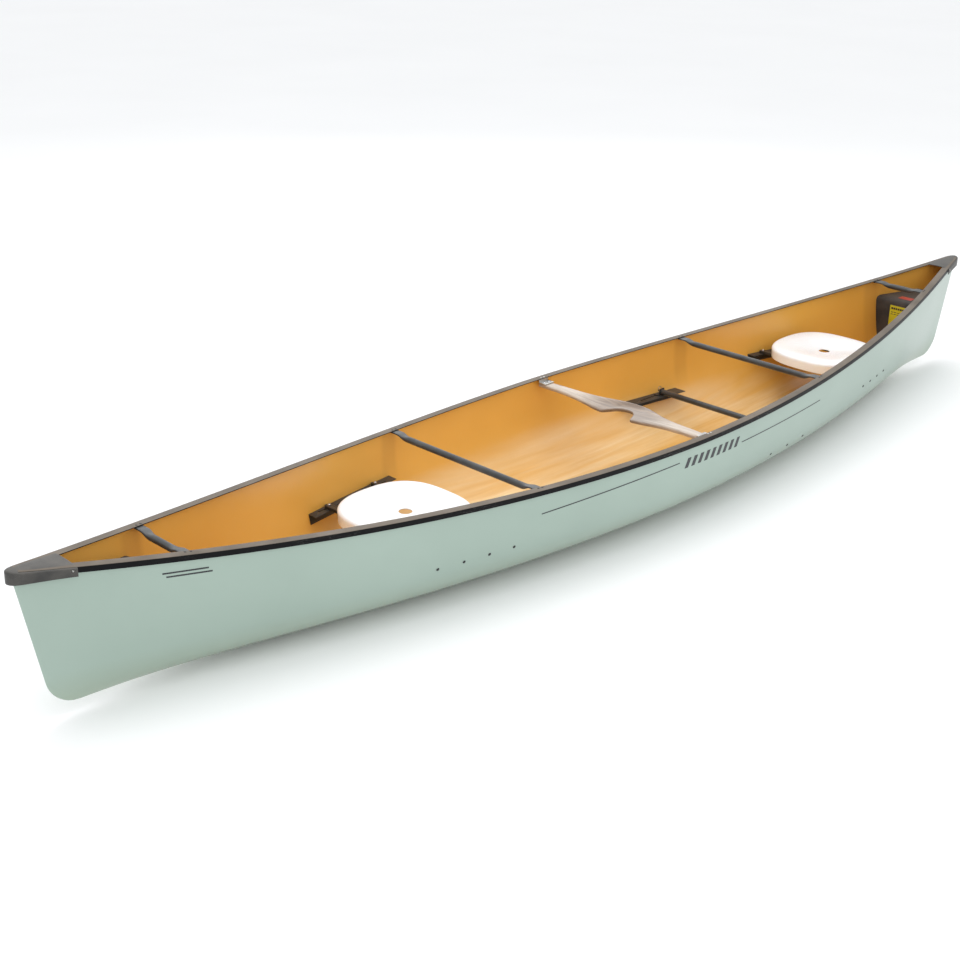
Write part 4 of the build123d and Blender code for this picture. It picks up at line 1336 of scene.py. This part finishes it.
softened_nodes = [(f"yoke_bracket_{side}", "hull", aluminium, "bright_aluminium") for side in sides]
for end in ("bow", "stern"):
    softened_nodes += [(f"{end}_seat_{bar}_bar", body_of_seat[end], bar_black, "black_metal")
                       for bar in ("front", "rear")]
    softened_nodes += [(f"{end}_seat_rail_{side}", "hull", bar_black, "black_metal") for side in sides]
for side in sides:
    softened_nodes += [(f"foot_track_{side}", "hull", bar_black, "black_metal"),
                       (f"foot_bracket_{side}", "foot_brace", bar_black, "black_metal"),
                       (f"foot_pin_{side}", f"foot_pin_{side}", steel, "bolt_steel")]
softened_nodes.append(("foot_bar", "foot_brace", tube_black, "anodised_tube"))
for node, body, material, finish_slot in softened_nodes:
    piece = softened(node, body, material)
    print(piece.name, "faces", len(piece.data.polygons))

# %% [markdown]
# ## Flotation blocks and their labels
# A block of dark foam fills each end under the carry thwart, cut to the hull with its top edge
# bevelled towards the paddlers. Stations along the block ask the hull's form for their width. A
# very gentle waviness on the cut faces says that a knife made them. The stern block carries a
# yellow care label, with plain blocks in place of words, and a small red sticker.

# %% Foam block mesh
foam_inset = wall + 0.0011
foam_length = 0.275
bevel_reach = 0.024
foam_bevel = [(0.0, 0.024), (0.0035, 0.0145), (0.007, 0.007), (0.015, 0.0025), (bevel_reach, 0.0)]


def foam_block(end, word):
    """A float block, built of stations from its face towards the boat's end."""
    low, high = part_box(f"{word}_float_block")
    face_x = low.x if end > 0 else high.x
    depths = [depth for depth, _ in foam_bevel]
    depths += [bevel_reach + (foam_length - bevel_reach) * k / 12 for k in range(1, 13)]
    rings = []
    for depth in depths:
        x = abs(face_x) + depth
        bevel = through(foam_bevel, depth) if depth < bevel_reach else 0.0
        top = high.z - bevel - 0.0002
        s_keel = min(0.999, x / stem(0.0)) if x < stem(0.0) else 0.999
        bottom = keel(s_keel) + foam_inset + 0.0015
        side_points = []
        for k in range(23):
            z = bottom + (top - bottom) * (k / 22)
            ripple = 0.0003 * sin(z * 190 + depth * 70)
            side_points.append((max(0.0006, half_width(x, z, foam_inset) - abs(ripple)), z))
        edge_y, edge_z = side_points[-1]
        top_points = [(edge_y * (1 - k / 7), edge_z - 0.0004 * sin(k * 1.9 + depth * 40) ** 2)
                      for k in range(1, 14)]
        ring = [Vector((end * x, y, z)) for y, z in side_points]
        ring += [Vector((end * x, y, z)) for y, z in top_points]
        ring += [Vector((end * x, -y, z)) for y, z in reversed(side_points)]
        rings.append(ring)
    return loft(f"{word}_foam_block", rings, foam, "hull", [f"{word}_float_block"],
                crisp=48)


for end, word in ((1, "bow"), (-1, "stern")):
    block = foam_block(end, word)
    print(block.name, "faces", len(block.data.polygons))

# %% [markdown]
# A label is a thin sheet with rounded corners. It is set out from one corner along two directions, so the same function makes the upright label and the flat sticker.


# %% Labels
def rounded_sheet(name, corner_of, right_of, up_of, size, radius, thick, material, stands_for):
    """A thin sheet with rounded corners, standing from a corner along two directions."""
    width, height = size
    normal = right_of.cross(up_of)
    ring = []
    for cx, cy, first in ((width - radius, radius, -90), (width - radius, height - radius, 0),
                          (radius, height - radius, 90), (radius, radius, 180)):
        for k in range(7):
            turn = radians(first + 15 * k)
            ring.append(corner_of + right_of * (cx + radius * cos(turn))
                        + up_of * (cy + radius * sin(turn)))
    middle = corner_of + right_of * width / 2 + up_of * height / 2
    inner = [p + (middle - p) * 0.012 + normal * thick for p in ring]
    outer = [p + normal * thick * 0.7 for p in ring]
    return loft(name, [ring, outer, inner], material, "hull", stands_for, crisp=80)


label_low, label_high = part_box("care_label")
forward, port, upright = Vector((1, 0, 0)), Vector((0, 1, 0)), Vector((0, 0, 1))
label_size = (label_high.y - label_low.y, label_high.z - label_low.z)
rounded_sheet("care_label_film", label_low.copy(), port, upright, label_size, 0.004, 0.0005,
              yellow_film, ["care_label"])
sticker_low, sticker_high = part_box("top_sticker")
rounded_sheet("top_sticker_film", sticker_low.copy(), forward, port,
              (sticker_high.x - sticker_low.x, sticker_high.y - sticker_low.y), 0.004, 0.0005,
              red_film, ["top_sticker"])
mark_face = label_low.x + 0.00055
mark_rows = ((7, 0.010, 0.020), (5, 0.003, 0.036), (5, 0.003, 0.046))   # count, height, below the top
for row, (count, mark_height, below_top) in enumerate(mark_rows):
    pitch = (label_size[0] - 0.012) / count
    for k in range(count):
        corner_place = Vector((mark_face, label_low.y + 0.007 + k * pitch, label_high.z - below_top))
        rounded_sheet(f"label_mark_{row}_{k}", corner_place, port, upright, (pitch * 0.78, mark_height),
                      0.0008, 0.0002, dark_film, [])
print("label size", [round(v, 4) for v in label_size])

# %% [markdown]
# ## Pinstripes and plain marks
# A fine dark line runs along each side, broken amidships by a row of slanted bars, and a pair of
# short lines sits near the bow. They are thin films on the gelcoat, so each is a ribbon of small
# faces laid four tenths of a millimetre outside the hull's form.

# %% Films on the hull's side
film_lift = -0.0004
stripe_tall = 0.0045
bar_pitch = 0.040
bar_wide = 0.021
bar_lean = 0.016
bar_tall = 0.040
line_step = 0.012           # the second bow line starts this much further aft
line_drop = 0.014           # and this much lower


def side_point(x, z, side):
    """A place just outside the hull's skin."""
    return Vector((x, side * half_width(x, z, film_lift), z))


def side_film(name, start, end, low_start, low_end, tall, side, lean=0.0, steps=24):
    """A film between two places along the hull. lean slides its top edge towards the stern."""
    points = []
    for k in range(steps + 1):
        t = k / steps
        x = start + (end - start) * t
        z = low_start + (low_end - low_start) * t
        for row in range(3):
            points.append(side_point(x - lean * row / 2, z + tall * row / 2, side))
    return new_piece(name, points, grid_faces(steps + 1, 3), [dark_film], "hull", [])


for side, word in ((1, "port"), (-1, "starboard")):
    side_film(f"pinstripe_fore_{word}", 0.863, 0.151, 0.2885, 0.3035, stripe_tall, side, steps=60)
    side_film(f"pinstripe_aft_{word}", -0.257, -0.905, 0.2805, 0.2855, stripe_tall, side, steps=60)
    for k in range(9):
        first = 0.118 - bar_pitch * k
        side_film(f"side_bar_{k}_{word}", first, first - bar_wide, 0.2735, 0.2733, bar_tall, side,
                  lean=bar_lean, steps=4)
    for k in range(2):
        side_film(f"bow_line_{k}_{word}", 2.262 - line_step * k, 2.118 - line_step * k,
                  0.424 - line_drop * k, 0.412 - line_drop * k, 0.0055, side, steps=12)

# %% [markdown]
# ## The floor
# The boat stands on its keel on a pale, even floor, which carries a soft shadow and throws light
# back up under the bilges.

# %% Floor
floor_finish, sheet, shader = finish_sheet("pale_floor", Roughness=0.9)
faint = place_group(sheet, grain_group, Size=1.5, Low=0.2, High=0.8)["Mask"]
sheet.put(shader, "Base Color", sheet.mix(faint, tint(247, 247, 247), tint(250, 250, 250)))
floor_mesh = bpy.data.meshes.new("pale_floor")
reach = 60.0
floor_corners = [(-reach, -reach, 0), (reach, -reach, 0), (reach, reach, 0), (-reach, reach, 0)]
floor_mesh.from_pydata(floor_corners, [], [(0, 1, 2, 3)])
floor_mesh.materials.append(floor_finish)
floor = bpy.data.objects.new("pale_floor", floor_mesh)
scene.collection.objects.link(floor)
floor.location.z = -0.0005
print("floor", round(2 * reach), "metres across")

# %% [markdown]
